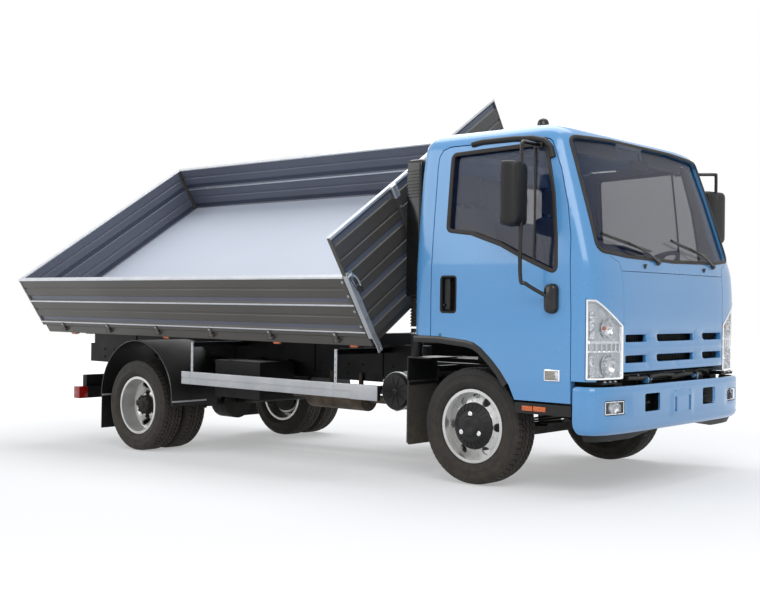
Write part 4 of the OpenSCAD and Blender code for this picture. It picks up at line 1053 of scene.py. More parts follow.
class TRUCK_OT_stage(bpy.types.Operator):
    """Camera, soft studio light and a pale floor"""
    bl_idname = "truck.stage"
    bl_label = "Stage"

    def camera(self):
        axle = (joint_point("front_wheel_right_spin") + joint_point("front_wheel_left_spin")) / 2
        data = bpy.data.cameras.new("Camera")
        data.sensor_width = 36.0
        data.lens = 53.2
        data.clip_end = 200.0
        eye = Vector((axle.x + 4.317, axle.y - 6.728, 1.031))
        yaw, pitch, roll = math.radians(131.24), math.radians(1.5), math.radians(-0.42)
        ahead = Vector((math.cos(pitch) * math.cos(yaw), math.cos(pitch) * math.sin(yaw), math.sin(pitch)))
        right = ahead.cross(Vector((0, 0, 1))).normalized()
        turned = axes_matrix(right, right.cross(ahead), -ahead, eye) @ Matrix.Rotation(roll, 4, "Z")
        camera = bpy.data.objects.new("Camera", data)
        camera.matrix_world = turned
        bpy.context.scene.collection.objects.link(camera)
        bpy.context.scene.camera = camera

    def lamp(self, name, where, target, size, power):
        data = bpy.data.lights.new(name, "AREA")
        data.shape = "RECTANGLE"
        data.size, data.size_y = size
        data.energy = power
        lamp = bpy.data.objects.new(name, data)
        lamp.location = where
        lamp.rotation_euler = (Vector(target) - Vector(where)).to_track_quat("-Z", "Y").to_euler()
        bpy.context.scene.collection.objects.link(lamp)

    def world(self):
        world = bpy.data.worlds.new("Studio")
        bpy.context.scene.world = world
        world.use_nodes = True
        nodes = world.node_tree
        nodes.nodes.clear()
        soft = add_node(nodes, "ShaderNodeBackground", None, {"Color": linear("#E4EBF4"), "Strength": 0.38})
        plain = add_node(nodes, "ShaderNodeBackground", None, {"Color": linear("#FFFFFF"), "Strength": 1.0})
        both = add_node(nodes, "ShaderNodeMixShader", None, None,
                        {0: light_paths(nodes), 1: soft.outputs[0], 2: plain.outputs[0]})
        add_node(nodes, "ShaderNodeOutputWorld", None, None, {"Surface": both.outputs[0]})

    def floor(self):
        made = bpy.data.materials.new("Matt floor paint, white")
        made.use_nodes = True
        nodes = made.node_tree
        nodes.nodes.clear()
        place = add_node(nodes, "ShaderNodeTexCoord").outputs["Object"]
        cloud = add_node(nodes, "ShaderNodeTexNoise", None, {"Scale": 0.8, "Detail": 3.0}, {"Vector": place})
        tint = add_node(nodes, "ShaderNodeMix", {"data_type": "RGBA"},
                        {6: linear("#EFEFF0"), 7: linear("#F4F4F4")}, {"Factor": cloud.outputs["Fac"]})
        matt = add_node(nodes, "ShaderNodeBsdfDiffuse", None, None, {"Color": tint.outputs[2]})
        glow = add_node(nodes, "ShaderNodeEmission", None, {"Color": linear("#FFFFFF"), "Strength": 1.3})
        away = add_node(nodes, "ShaderNodeVectorMath", {"operation": "LENGTH"}, None, {0: place})
        far = add_node(nodes, "ShaderNodeMapRange", {"interpolation_type": "SMOOTHSTEP"},
                       {"From Min": 3.2, "From Max": 9.0, "To Min": 0.28, "To Max": 1.0},
                       {"Value": away.outputs["Value"]})
        share = add_node(nodes, "ShaderNodeMath", {"operation": "MULTIPLY"}, None,
                         {0: light_paths(nodes), 1: far.outputs[0]})
        mixed = add_node(nodes, "ShaderNodeMixShader", None, None,
                         {0: share.outputs[0], 1: matt.outputs[0], 2: glow.outputs[0]})
        add_node(nodes, "ShaderNodeOutputMaterial", None, None, {"Surface": mixed.outputs[0]})
        bm = bmesh.new()
        bmesh.ops.create_grid(bm, x_segments=8, y_segments=8, size=60.0)
        mesh = bpy.data.meshes.new("floor")
        bm.to_mesh(mesh)
        bm.free()
        mesh.materials.append(made)
        floor = bpy.data.objects.new("floor", mesh)
        bpy.context.scene.collection.objects.link(floor)

    def execute(self, context):
        context.scene.view_settings.view_transform = "Standard"
        self.camera()
        self.world()
        self.floor()
        self.lamp("Key", (7.5, -7.0, 7.5), (0.0, 0.0, 0.8), (7, 5), 430)
        self.lamp("Fill", (-6.5, -8.0, 5.5), (-0.5, 0.0, 1.0), (8, 5), 240)
        self.lamp("Top", (0.0, 1.5, 8.5), (0.0, 0.0, 0.5), (9, 6), 420)
        self.lamp("Back", (-4.0, 8.0, 5.5), (0.0, 0.0, 1.0), (8, 5), 300)
        return {"FINISHED"}


# ---- finishes of the frame's own nodes ----
NODE_LOOKS = {
    "chassis": ["chassis_frame", "subframe", "leaf_springs", "underrun_bar", "cylinder_barrel",
                "battery_box",
                "fuel_tank"],
    "iron": ["front_axle", "rear_axle", "drivetrain", "knuckle_right", "knuckle_left", "tie_rod"],
    "plastic": ["mudguards", "cab_steps", "air_cleaner", "steering_wheel"],
    "exhaust": ["exhaust"],
    "guard": ["side_guards"],
    "paint": ["cab_shell"],
    "dark_trim": ["dashboard"],
    "glass": ["cab_glass", "door_glass_right", "door_glass_left"],
    "body_out": ["bed_floor"],
    "chrome": ["cylinder_stage_1", "cylinder_stage_2", "cylinder_rod"],
    "silver": ["wheel_front_right", "wheel_front_left", "wheels_rear_right", "wheels_rear_left"],
}


class TRUCK_OT_finishes(bpy.types.Operator):
    """Finishes of the chassis, axles, glass and the other pieces whose shape comes with the frame"""
    bl_idname = "truck.finishes"
    bl_label = "Frame finishes"

    def execute(self, context):
        for key, nodes in NODE_LOOKS.items():
            for node in nodes:
                repaint(node, key)
        return {"FINISHED"}


# ---- the cab ----
def skin_normal(points):
    """Directions straight out of the sheet."""
    h = 4.0
    step_x, step_y = np.array([h, 0.0]), np.array([0.0, h])
    low, high = np.array([-SHEET.length + h, h]), np.array([SHEET.length - h, REACH[-1] - h])
    p = np.clip(points, low, high)
    mirror = np.where(points[:, 0] < 0, -1.0, 1.0)[:, None]
    q = np.abs(p[:, 0]).clip(h)
    p = np.column_stack([q, p[:, 1]])
    du = SHEET.at(p + step_x) - SHEET.at(p - step_x * 0.999)
    dv = SHEET.at(p + step_y) - SHEET.at(p - step_y)
    n = np.cross(du, dv)
    n /= np.linalg.norm(n, axis=1)[:, None]
    n[:, 1] *= mirror[:, 0]
    return n


def skin_at(points, out=SKIN):
    """Points on the cab's outside, lifted off it by a distance."""
    points = np.asarray(points, float)
    return SHEET.at(points) + skin_normal(points) * out


def back_point(y, z):
    """Where a point of the back, given by Y and Z, lies on the sheet."""
    row = np.interp(SHEET.row(z), REACH, np.arange(len(REACH)))
    i = min(int(row), len(REACH) - 2)
    u = row - i
    ys = SHEET.table[i, :, 1] * (1 - u) + SHEET.table[i + 1, :, 1] * u
    first = int(len(ys) * 0.75)
    found = float(np.interp(-abs(y), -ys[first:], SHEET.columns[first:]))
    return (found if y >= 0 else -found), float(SHEET.row(z))


def on_nose(points, step=40):
    """An outline in Y and Z, laid on the sheet's front."""
    return [SHEET.nose_point(y, z) for y, z in divided(points, step)]


def on_side(points, side=1, step=40):
    """An outline in X and Z, laid on the sheet's side."""
    return [SHEET.side_point(x, z, side) for x, z in divided(points, step)]


def open_run(points, step=30):
    """Points along an open line, no further apart than step."""
    made = []
    for p, q in zip(points, points[1:]):
        parts = max(1, math.ceil(math.dist(p, q) / step))
        made += [(p[0] + (q[0] - p[0]) * k / parts, p[1] + (q[1] - p[1]) * k / parts) for k in range(parts)]
    return made + [points[-1]]


def bead(bm, points, normals, profile, closed=True, mat=0, lift=0.0):
    """A moulding along points: its profile is (across, out), with across to the left of the way it runs."""
    rings = []
    count = len(points)
    for i in range(count):
        before = points[(i - 1) % count] if closed or i else points[i]
        after = points[(i + 1) % count] if closed or i < count - 1 else points[i]
        d = (Vector(after) - Vector(before)).normalized()
        n = Vector(normals[i])
        n = (n - d * n.dot(d)).normalized()
        across = n.cross(d)
        rings.append([Vector(points[i]) + across * a + n * (o + lift) for a, o in profile])
    if not closed:
        loft(bm, rings, mat)
        return
    made = [[bm.verts.new(p) for p in ring] for ring in rings]
    size = len(profile)
    for i in range(count):
        a, b = made[i], made[(i + 1) % count]
        for k in range(size):
            m = (k + 1) % size
            bm.faces.new((a[k], a[m], b[m], b[k])).material_index = mat


def half_round(width, height, steps=7, foot=1.0):
    """A moulding's profile: flat underneath and round on top."""
    arc = [(width / 2 * math.cos(math.pi * i / steps), height * math.sin(math.pi * i / steps))
           for i in range(steps + 1)]
    return [(-width / 2, -foot)] + [(width / 2, -foot)] + arc


def skin_bead(bm, outline, profile, closed=True, mat=0, lift=0.0):
    """A moulding on the cab's skin along points of the sheet."""
    points = np.array(outline, float)
    if closed and len(points) > 2 and (points[0] == points[-1]).all():
        points = points[:-1]
    bead(bm, [Vector(p) for p in skin_at(points, SKIN)], [Vector(n) for n in skin_normal(points)],
         profile, closed, mat, lift)


REAR_WINDOW = (560, 1560, 2050)


def skin_outline():
    """The right-hand way round the painted shell, from the seam at the back to the middle of the nose."""
    gap = bpy.context.scene.truck_sizes.panel_gap
    door = door_outline(gap)
    rear, front = door[0], door[9]
    half, low, high = REAR_WINDOW
    run = []
    run += [back_point(*p) for p in open_run([(0, 945), (CAB_SIDE_FLAT, 945)])]
    run += [SHEET.side_point(*p) for p in open_run([(-CAB_BACK + CORNER_R, 945), (rear[0], 945)])]
    tops = (door[9:] + [door[0]])[::-1]
    run += [SHEET.side_point(*p) for p in open_run([(rear[0], 945)] + tops[1:-1] + [(front[0], 708)])]
    run += [SHEET.side_point(*p) for p in open_run([(front[0], 708), (862, 708), (862, 1200)])]
    run += [SHEET.nose_point(*p) for p in open_run([(960, 1189), (688, 1043), (687, 1180), (699, 1369),
                                                    (0, 1369)])]
    return run


CAB_SIDE_FLAT = 900.0


def tidy_run(points, least=2.0):
    made = []
    for p in points:
        if not made or math.dist(made[-1], p) > least:
            made.append(p)
    return made


class TRUCK_OT_cab_skin(bpy.types.Operator):
    """The cab's painted outside with its seams, window rubbers, rain bars and roof"""
    bl_idname = "truck.cab_skin"
    bl_label = "Cab skin"

    def outline(self):
        half = tidy_run(skin_outline())
        top = float(REACH[-1])
        length = SHEET.length
        w, low, high = REAR_WINDOW
        seam = [back_point(y, z) for y, z in open_run([(w, low), (w, high), (0, high)])]
        left = [(-x, u) for x, u in seam]
        roof = [(length - 2 * length * i / 140, top) for i in range(141)]
        start = half[0][1]
        run = [(-length, start)] + [(-x, u) for x, u in half[1:]]
        run += [(x, u) for x, u in reversed(half[1:])] + [(length, start)]
        run += [back_point(y, low) for y, _ in open_run([(0, 0), (w, 0)])] + seam[1:]
        run += [(length, top)] + roof[1:-1] + [(-length, top)]
        run += list(reversed(left))[0:] + [(-back_point(y, low)[0], back_point(y, low)[1])
                                           for y, _ in open_run([(w, 0), (0, 0)])]
        return tidy_run(run, 1.0)

    def execute(self, context):
        outer = self.outline()
        screen = on_nose(screen_outline(), 30)
        sheet = cut_sheet(outer, [screen], 34)
        bm = bmesh.new()
        near = add_sheet(bm, sheet, skin_at(sheet[0], SKIN), False, 0)
        far = add_sheet(bm, sheet, skin_at(sheet[0], 0.4), True, 0)
        for a, b in zip(near, far):
            wall(bm, b, a, False, 0)
        bmesh.ops.remove_doubles(bm, verts=bm.verts, dist=0.6)
        rim = [e for e in bm.edges if e.is_boundary and min(v.co.z for v in e.verts) > ROOF_Z + 2]
        if rim:
            bmesh.ops.contextual_create(bm, geom=rim)
        bmesh.ops.recalc_face_normals(bm, faces=bm.faces)
        put(bm, "cab_skin", "cab", TRUCK, looks("paint"), smooth=40)
        self.seals()
        self.roof_details()
        return {"FINISHED"}

    def seals(self):
        bm = bmesh.new()
        skin_bead(bm, on_nose(screen_outline(2), 26), half_round(24, 8), mat=0)
        half, low, high = REAR_WINDOW
        back = rectangle((-half, low), (half, high), 60, 6)
        points = [Vector((-CAB_BACK - 1, y, z)) for y, z in back]
        bead(bm, points, [Vector((-1, 0, 0))] * len(points), half_round(40, 9), mat=0)
        for side in BOTH:
            skin_bead(bm, on_side(window_outline(2), side, 30), half_round(20, 6))
        put(bm, "window_rubbers", "cab", TRUCK, looks("seal"), smooth=50)

    def roof_details(self):
        bm = bmesh.new()
        for side in BOTH:
            line = [(-20, 2180), (60, 2190), (300, 2190), (440, 2182), (530, 2160), (578, 2110), (598, 2050)]
            run = [SHEET.side_point(x, z, side) for x, z in open_run(line, 24)]
            skin_bead(bm, run, half_round(38, 24), closed=False)
        put(bm, "rain_bars", "cab", TRUCK, looks("plastic"), smooth=45)
        bm = bmesh.new()
        dome = [(0, 62), (14, 61), (26, 55), (34, 44), (38, 28), (39, 8), (46, 2), (46, -6), (0, -6)]
        place = Matrix.Translation((330, -640, ROOF_Z + 2)) @ Matrix.Rotation(math.radians(90), 4, "X")
        lathe(bm, [(r, y) for r, y in dome], 32)
        bmesh.ops.transform(bm, matrix=place, verts=bm.verts)
        bmesh.ops.recalc_face_normals(bm, faces=bm.faces)
        put(bm, "roof_lamp", "cab", TRUCK, looks("gloss"), smooth=40, weld=0.1)


class TRUCK_OT_doors(bpy.types.Operator):
    """Both doors: curved outer panel, lining, window rubber, handle in its recess and turn lamp"""
    bl_idname = "truck.doors"
    bl_label = "Doors"

    RECESS = [(-205, 1103), (-85, 1103), (-85, 1333), (-205, 1333)]
    LAMP = [(590, 700), (700, 700), (700, 770), (590, 770)]

    def door(self, side, name):
        def out(points, lift=SKIN):
            return [(x, side * (side_y(x, z) + lift), z) for x, z in points]

        def back(points):
            return [(x, side * (side_y(x, z) - 52), z) for x, z in points]

        body = "door_" + name
        window, recess = window_outline(), rounded(self.RECESS, 22, 5)
        bm = bmesh.new()
        sheet = cut_sheet(door_outline(), [window, recess], 34)
        flip = side > 0
        near = add_sheet(bm, sheet, out(sheet[0]), flip, 0)
        far = add_sheet(bm, sheet, back(sheet[0]), not flip, 1)
        for number, (a, b) in enumerate(zip(near, far)):
            wall(bm, b, a, flip, (0, 2, 2)[number])
        bmesh.ops.recalc_face_normals(bm, faces=bm.faces)
        panel = put(bm, body + "_panel", body, TRUCK, looks("paint", "trim", "seal"), (body,),
                    30)
        soften(panel, 2.5, 2)

        bm = bmesh.new()
        points = [Vector(p) for p in out(divided(window_outline(-3), 24), SKIN)]
        normals = [Vector((0.12, side, 0.1))] * len(points)
        bead(bm, points, normals, half_round(24, 5), mat=0)
        inner = [Vector((x, side * (side_y(x, z) - 53), z)) for x, z in divided(window_outline(-4), 24)]
        bead(bm, inner, [Vector((0, -side, 0))] * len(inner), half_round(20, 7), mat=0)
        # divider of the fixed quarter glass
        bar = [(486, 1425), (478, 1700), (448, 2142)]
        run = [Vector((x, side * (side_y(x, z) - 20), z)) for x, z in open_run(bar, 60)]
        bead(bm, run, [Vector((0, side, 0))] * len(run), half_round(15, 6), False, 0)
        put(bm, body + "_rubbers", body, TRUCK, looks("seal"), smooth=50)

        # the handle: a cup let into the panel, with an upright bar across it
        bm = bmesh.new()
        levels = [(7, 3.5, 0), (4, 6, 0), (-3, 6, 0), (-6, 3, 0), (-10, -26, 0), (-22, -33, 0)]
        rings = []
        for grow, lift, _ in levels:
            outline = grown_outline(recess, grow)
            rings.append([(x, side * (side_y(x, z) + lift), z) for x, z in outline])
        loft(bm, rings, 0, True, False)
        low = [bm.verts.new(p) for p in rings[-1]]
        bm.faces.new(low)
        bmesh.ops.remove_doubles(bm, verts=bm.verts, dist=0.01)
        bmesh.ops.recalc_face_normals(bm, faces=bm.faces)
        if side * sum(f.normal.y * f.calc_area() for f in bm.faces) < 0:
            bmesh.ops.reverse_faces(bm, faces=bm.faces)
        y = side * (side_y(-145, 1218) - 2)
        grip = [(-158, 1120), (-132, 1120), (-128, 1150), (-128, 1290), (-134, 1318), (-156, 1318),
                (-162, 1290),
                (-162, 1150)]
        rings = []
        for lift, grow in ((-14, -2), (-6, 0), (2, 0), (6, -3)):
            rings.append([(x, y + side * lift, z) for x, z in grown_outline(grip, grow)])
        loft(bm, rings if side < 0 else list(reversed(rings)), 0)
        rod(bm, (-145, y - side * 26, 1132), (-145, y - side * 4, 1132), 9, 12)
        rod(bm, (-145, y - side * 26, 1306), (-145, y - side * 4, 1306), 9, 12)
        rod(bm, (-185, y - side * 30, 1150), (-185, y - side * 2, 1150), 8, 20)
        piece = put(bm, body + "_handle", body, TRUCK, looks("plastic"), smooth=40)
        soften(piece, 1.5)

        # side turn lamp: a bright bezel round an amber and a clear half
        bm = bmesh.new()
        outline = rounded(self.LAMP, 9, 4)
        rings = [[(x, side * (side_y(x, z) + lift), z) for x, z in grown_outline(outline, grow)]
                 for grow, lift in ((0, 1.5), (0, 8), (-3, 11), (-8, 11), (-9, 7))]
        loft(bm, rings, 0, True, False)
        for low_x, high_x, mat in ((602, 664, 1), (664, 690, 2)):
            pane = rounded([(low_x, 710), (high_x, 710), (high_x, 760), (low_x, 760)], 3, 2)
            rings = [[(x, side * (side_y(x, z) + lift), z) for x, z in grown_outline(pane, grow)]
                     for grow, lift in ((1, 2), (0, 12), (-3, 14))]
            loft(bm, rings, mat)
        bmesh.ops.recalc_face_normals(bm, faces=bm.faces)
        put(bm, body + "_turn_lamp", body, TRUCK, looks("chrome", "lens_orange", "reflector"),
            smooth=40)

    def execute(self, context):
        self.door(-1, "right")
        self.door(1, "left")
        return {"FINISHED"}


# ---- the tipping body ----
HINGE_OUT, HINGE_LOW, EYE_R = 12, -80, 13
SIDE_HINGES, TAIL_HINGES = 6, 4
EXTRUSION = 216.0


def board_face(low, high, start=-9.0):
    """One face of a board built of hollow extrusions: (depth, height) points going up."""
    steps = [(0, 10), (9, 18), (9, 52), (0, 62), (0, 118), (5, 123), (5, 136), (0, 142), (0, 216)]
    points = [(0.0, low)]
    base = start
    while base > low:
        base -= EXTRUSION
    while base < high:
        points += [(d, base + h) for d, h in steps if low + 4 < base + h < high - 4]
        base += EXTRUSION
    return points + [(0.0, high)]


def board(bm, low, high, thick, direction, a, b, near, sign):
    """A board: near is where its outside lies, and sign the way that faces outwards.

    Its outside takes material 0, its grooves and its inside material 1, and the inside's grooves 2. Material
    0's warm grey partly paints the ground's reflection on the outside faces, and material 2 is a darker copy
    of material 1 that paints shade into the inside's channels."""
    outer = [(near - sign * d, h) for d, h in board_face(low, high)]
    inside_face = [(near - sign * (thick - d), h) for d, h in reversed(board_face(low, high))]
    profile = outer + inside_face
    if direction == "Y":
        profile = [(h, d) for d, h in profile]
    before = len(bm.faces)
    extruded(bm, profile, direction, a, b)
    bm.faces.ensure_lookup_table()
    axis = 1 if direction == "X" else 0
    bm.normal_update()
    for face in bm.faces[before:]:
        depth = (near - face.calc_center_median()[axis]) * sign
        flat = abs(face.normal[axis]) > 0.6
        inner = thick - depth
        outside = depth < thick / 2
        if outside:
            # on the outside, the deep flat faces of the grooves take material 1, the slate grey without the
            # painted ground reflection of material 0
            face.material_index = 1 if flat and depth > 6 else 0
        else:
            # on the inside, the deep flat faces take material 2, the darker copy: painted shade in the
            # channels
            face.material_index = 2 if flat and inner > 6 else 1


def mirror_y(side):
    return Matrix.Scale(side, 4, (0, 1, 0))


def mend(bm):
    """Turns every face outwards."""
    bmesh.ops.recalc_face_normals(bm, faces=bm.faces)
    return bm


def side_spots():
    low, high = SIDE_LOW.x, BOARD_HIGH.x
    return [low + (high - low) * (i + 0.5) / SIDE_HINGES for i in range(SIDE_HINGES)]


def tail_spots():
    half = HALF_BED - 60
    return [-half + 2 * half * (i + 0.5) / TAIL_HINGES for i in range(TAIL_HINGES)]


def strap(bm, place):
    """A hinge strap with its eye, standing at the foot of a board whose outside is Y = 0."""
    outline = rounded([(-15, HINGE_LOW + 6), (15, HINGE_LOW + 6), (17, -30), (15, -12), (-15, -12),
                       (-17, -30)],
                      [2, 2, 6, 8, 8, 6], 3)
    slab(bm, outline, place @ axes_matrix(Vector((-1, 0, 0)), Vector((0, 0, 1)), Vector((0, 1, 0)),
                                          (0, 0, 0)), 8)
    rings = []
    for x, r in ((-15, EYE_R - 1.5), (-13.5, EYE_R), (13.5, EYE_R), (15, EYE_R - 1.5)):
        rings.append([place @ p for p in circle((x, HINGE_OUT, HINGE_LOW), (1, 0, 0), r, 20)])
    loft(bm, rings)
    # the rolled part between strap and eye
    web = [(0, HINGE_LOW), (HINGE_OUT + EYE_R - 3, HINGE_LOW), (HINGE_OUT - 3, HINGE_LOW + 30),
           (8, HINGE_LOW + 34),
           (0, HINGE_LOW + 34)]
    loft(bm, [[place @ Vector((x, y, z)) for y, z in web] for x in (-13, 13)])


class TRUCK_OT_drop_sides(bpy.types.Operator):
    """The two drop sides and the tailgate: grooved extrusions with bright rails, end posts and hinges"""
    bl_idname = "truck.drop_sides"
    bl_label = "Drop sides and tailgate"

    def side(self, side, name):
        low, high = SIDE_LOW.x, SIDE_HIGH.x
        y = side * HALF_BED
        rail = bpy.context.scene.truck_sizes.board_rails
        bm = bmesh.new()
        board(bm, -46, 425, 30, "X", low + 3, high - 3, y, side)
        put(mend(bm), "side_board_" + name, "dropside_" + name, BED, looks("body_out", "body", "body_channel_shade"),
            ("dropside_" + name,), 30)
        bm = bmesh.new()
        top = [(y + side * 2, 431 - rail), (y + side * 2, 428), (y, 431), (y - side * 30, 431),
               (y - side * 32, 428), (y - side * 32, 431 - rail), (y - side * 29, 431 - rail),
               (y - side * 29, 425), (y - side, 425), (y - side, 431 - rail)]
        extruded(bm, top, "X", low, high)
        for z, tall in ((207, rail), (-9, rail * 0.85)):
            strip = [(y - side, z - tall / 2), (y + side * 3, z - tall / 2 + 1), (y + side * 4.5, z),
                     (y + side * 3, z + tall / 2 - 1), (y - side, z + tall / 2)]
            extruded(bm, strip, "X", low + 3, high - 3)
        strip = [(y - side * 29, 200), (y - side * 33, 202), (y - side * 33, 212), (y - side * 29, 214)]
        extruded(bm, strip, "X", low + 3, high - 3)
        for x in (low, high - 34):
            post = rounded([(x, y + side * 1.5), (x + 34, y + side * 1.5), (x + 34, y - side * 31.5),
                            (x, y - side * 31.5)], 4, 2)
            extruded(bm, post, "Z", -46, 424, 1)
        put(mend(bm), "side_rails_" + name, "dropside_" + name, BED, looks("rail", "body_out"),
            smooth=40)
        bm = bmesh.new()
        for x in side_spots():
            strap(bm, mirror_y(side) @ Matrix.Translation((x, HALF_BED, 0)))
        put(mend(bm), "side_hinges_" + name, "dropside_" + name, BED, looks("body_out"),
            smooth=40)
        spots = [((x, y + side * 8.5, -27), (0, side, 0)) for x in side_spots()]
        spots += [((x + 17, y + side * 3, z), (0, side, 0)) for x in (low, high - 34) for z in (40, 160,
                                                                                                280, 390)]
        bolts("side_bolts_" + name, "dropside_" + name, BED, spots, 7, 5, look("zinc"))

    def tailgate(self):
        x = GATE_LOW.x + 25
        half = HALF_BED - 36
        bm = bmesh.new()
        board(bm, -46, 425, 30, "Y", -half + 3, half - 3, x, -1)
        put(mend(bm), "tail_board", "tailgate", BED, looks("body_out", "body", "body_channel_shade"),
            ("tailgate",), 30)
        rail = bpy.context.scene.truck_sizes.board_rails
        bm = bmesh.new()
        top = [(431 - rail, x - 2), (428, x - 2), (431, x), (431, x + 30), (428, x + 32),
               (431 - rail, x + 32),
               (431 - rail, x + 29), (425, x + 29), (425, x + 1), (431 - rail, x + 1)]
        extruded(bm, top, "Y", -half, half)
        for z, tall in ((207, rail), (-9, rail * 0.85)):
            strip = [(z - tall / 2, x + 1), (z - tall / 2 + 1, x - 3), (z, x - 4.5),
                     (z + tall / 2 - 1, x - 3),
                     (z + tall / 2, x + 1)]
            extruded(bm, strip, "Y", -half + 3, half - 3)
        for y in (-half, half - 34):
            post = rounded([(x - 1.5, y), (x + 31.5, y), (x + 31.5, y + 34), (x - 1.5, y + 34)], 4, 2)
            extruded(bm, post, "Z", -46, 424, 1)
        put(mend(bm), "tail_rails", "tailgate", BED, looks("rail", "body_out"), smooth=40)
        bm = bmesh.new()
        turn = Matrix.Translation((x, 0, 0)) @ Matrix.Rotation(math.radians(90), 4, "Z")
        for y in tail_spots():
            strap(bm, turn @ Matrix.Translation((y, 0, 0)))
        put(mend(bm), "tail_hinges", "tailgate", BED, looks("body_out"), smooth=40)
        spots = [((x - 8.5, y, -27), (-1, 0, 0)) for y in tail_spots()]
        bolts("tail_bolts", "tailgate", BED, spots, 7, 5, look("zinc"))

    def execute(self, context):
        self.side(-1, "right")
        self.side(1, "left")
        self.tailgate()
        return {"FINISHED"}


class TRUCK_OT_front_board(bpy.types.Operator):
    """The front board with its cap rail, posts, corner catches and lower ears, and the pale floor sheet"""
    bl_idname = "truck.front_board"
    bl_label = "Front board and floor"

    def catch(self, bm, side):
        """A lever catch on the corner post, with its pull cable."""
        x, y = BOARD_HIGH.x + 9, side * (HALF_BED - 24)
        outline = rounded([(-26, -34), (26, -34), (26, 34), (-26, 34)], 8, 3)
        place = axes_matrix(Vector((0, 1, 0)), Vector((0, 0, 1)), Vector((1, 0, 0)), (x, y, 425))
        slab(bm, outline, place, 5, mats=(0, 0, 0))
        rod(bm, (x + 4, y, 432), (x + 30, y, 432), 13, 18, 0)
        rod(bm, (x + 16, y - side * 6, 432), (x + 16, y + side * 34, 430), 8, 14, 0)
        tube(bm, [(x + 22, y, 432), (x + 30, y - side * 18, 410), (x + 30, y - side * 30, 372),
                  (x + 26, y - side * 34, 322)], 6.5, 12, 0)
        rod(bm, (x + 26, y - side * 34, 330), (x + 25, y - side * 36, 286), 10, 14, 1, 8)
        tube(bm, [(x + 8, y + side * 12, 420), (x + 18, y + side * 16, 380), (x + 16, y + side * 4, 330),
                  (x + 10, y - side * 10, 300)], 2.6, 8, 1)

    def execute(self, context):
        x0, x1 = BOARD_LOW.x, BOARD_HIGH.x
        half, top = HALF_BED, BOARD_HIGH.z
        bm = bmesh.new()
        board(bm, -60, top - 6, 30, "Y", -half + 2, half - 2, x1, 1)
        put(mend(bm), "front_wall", "bed", BED, looks("body_out", "body", "body_channel_shade"),
            ("front_board",), 30)
        bm = bmesh.new()
        cap = [(top - 18, x1 + 2), (top - 3, x1 + 2), (top, x1), (top, x0), (top - 3, x0 - 2),
               (top - 18, x0 - 2), (top - 18, x0 + 1), (top - 6, x0 + 1), (top - 6, x1 - 1),
               (top - 18, x1 - 1)]
        extruded(bm, cap, "Y", -half, half)
        for y in (-345, 345):
            extruded(bm, rounded([(x1, y - 26), (x1 + 24, y - 26), (x1 + 24, y + 26), (x1, y + 26)], 5, 3),
                     "Z",
                     top - 92, top - 2)
        put(mend(bm), "front_cap", "bed", BED, looks("rail"), smooth=40)
        bm = bmesh.new()
        for y in (-345, 345):
            extruded(bm, [(x1, y - 20), (x1 + 15, y - 17), (x1 + 15, y + 17), (x1, y + 20)], "Z", -58,
                     top - 88, 1)
        for side in BOTH:
            y = side * half
            # end channel of the board, and the corner post with its ear
            end = rounded([(x0 - 1.5, y), (x1 + 1.5, y), (x1 + 1.5, y - side * 16),
                           (x0 - 1.5, y - side * 16)], 3, 2)
            extruded(bm, end, "Z", 434, top - 8, 1)
            post = [(y, 440), (y, -62), (y - side * 6, -120), (y - side * 2, -175), (y - side * 46, -175),
                    (y - side * 50, -120), (y - side * 44, -62), (y - side * 44, 440)]
            hole = oval((y - side * 25, -150), (9, 9), 20)
            place = axes_matrix(Vector((0, 1, 0)), Vector((0, 0, 1)), Vector((1, 0, 0)), (x1 - 1, 0, 0))
            outline = post if side > 0 else list(reversed(post))
            slab(bm, rounded(outline, 4, 3), place, 9, [hole], 200, (0, 0, 0))
            extruded(bm, [(x0 - 1, y), (x1, y), (x1, y - side * 5), (x0 - 1, y - side * 5)], "Z", -58, 434,
                     0)
        piece = put(mend(bm), "front_posts", "bed", BED, looks("guard", "body_out"), smooth=40)
        soften(piece, 1.2, 1)
        bm = bmesh.new()
        for side in BOTH:
            self.catch(bm, side)
        put(mend(bm), "corner_catches", "bed", BED, looks("zinc", "gloss"), smooth=45)
        spots = [((x1 + 8, s * (half - 22), z), (1, 0, 0)) for s in BOTH for z in (350, 230, 90, -30)]
        spots += [((x1 + 15, y, z), (1, 0, 0)) for y in (-345, 345) for z in (560, 380, 180, 0)]
        bolts("front_bolts", "bed", BED, spots, 7, 5, look("zinc"))
        self.floor()
        return {"FINISHED"}

    def floor(self):
        """The floor sheet, and the amber markers on brackets under the body's edge."""
        half, back = HALF_BED - 37, -4660
        bm = bmesh.new()
        outline = rectangle((back, -half), (BOARD_LOW.x - 1, half), 3, 2)
        slab(bm, outline, Matrix.Identity(4), 2.0, (), 300)
        put(mend(bm), "floor_sheet", "bed", BED, looks("floor"), smooth=30)
        # amber markers on brackets under the body's edge
        bm = bmesh.new()
        for side in BOTH:
            for x in (-4350, -3050, -1750, -980):
                pane = rounded([(x, -30), (x + 70, -30), (x + 70, -8), (x, -8)], 5, 3)
                place = axes_matrix(Vector((1, 0, 0)), Vector((0, 0, 1)), Vector((0, -1, 0)),
                                    (0, side * (HALF_BED - 34), -122))
                rings = []
                for grow, h in ((0, 0), (0, 12), (-3, 16)):
                    rings.append([place @ Vector((p[0], p[1], -side * h)) for p in grown_outline(pane,
                                                                                                 grow)])
                loft(bm, rings, 0)
                block(bm, (x - 8, side * (HALF_BED - 52), -156), (x + 78, side * (HALF_BED - 35), -120), 1)
        piece = put(mend(bm), "side_markers", "bed", BED, looks("orange", "plastic"),
                    smooth=35)
        soften(piece, 1.5, 1)


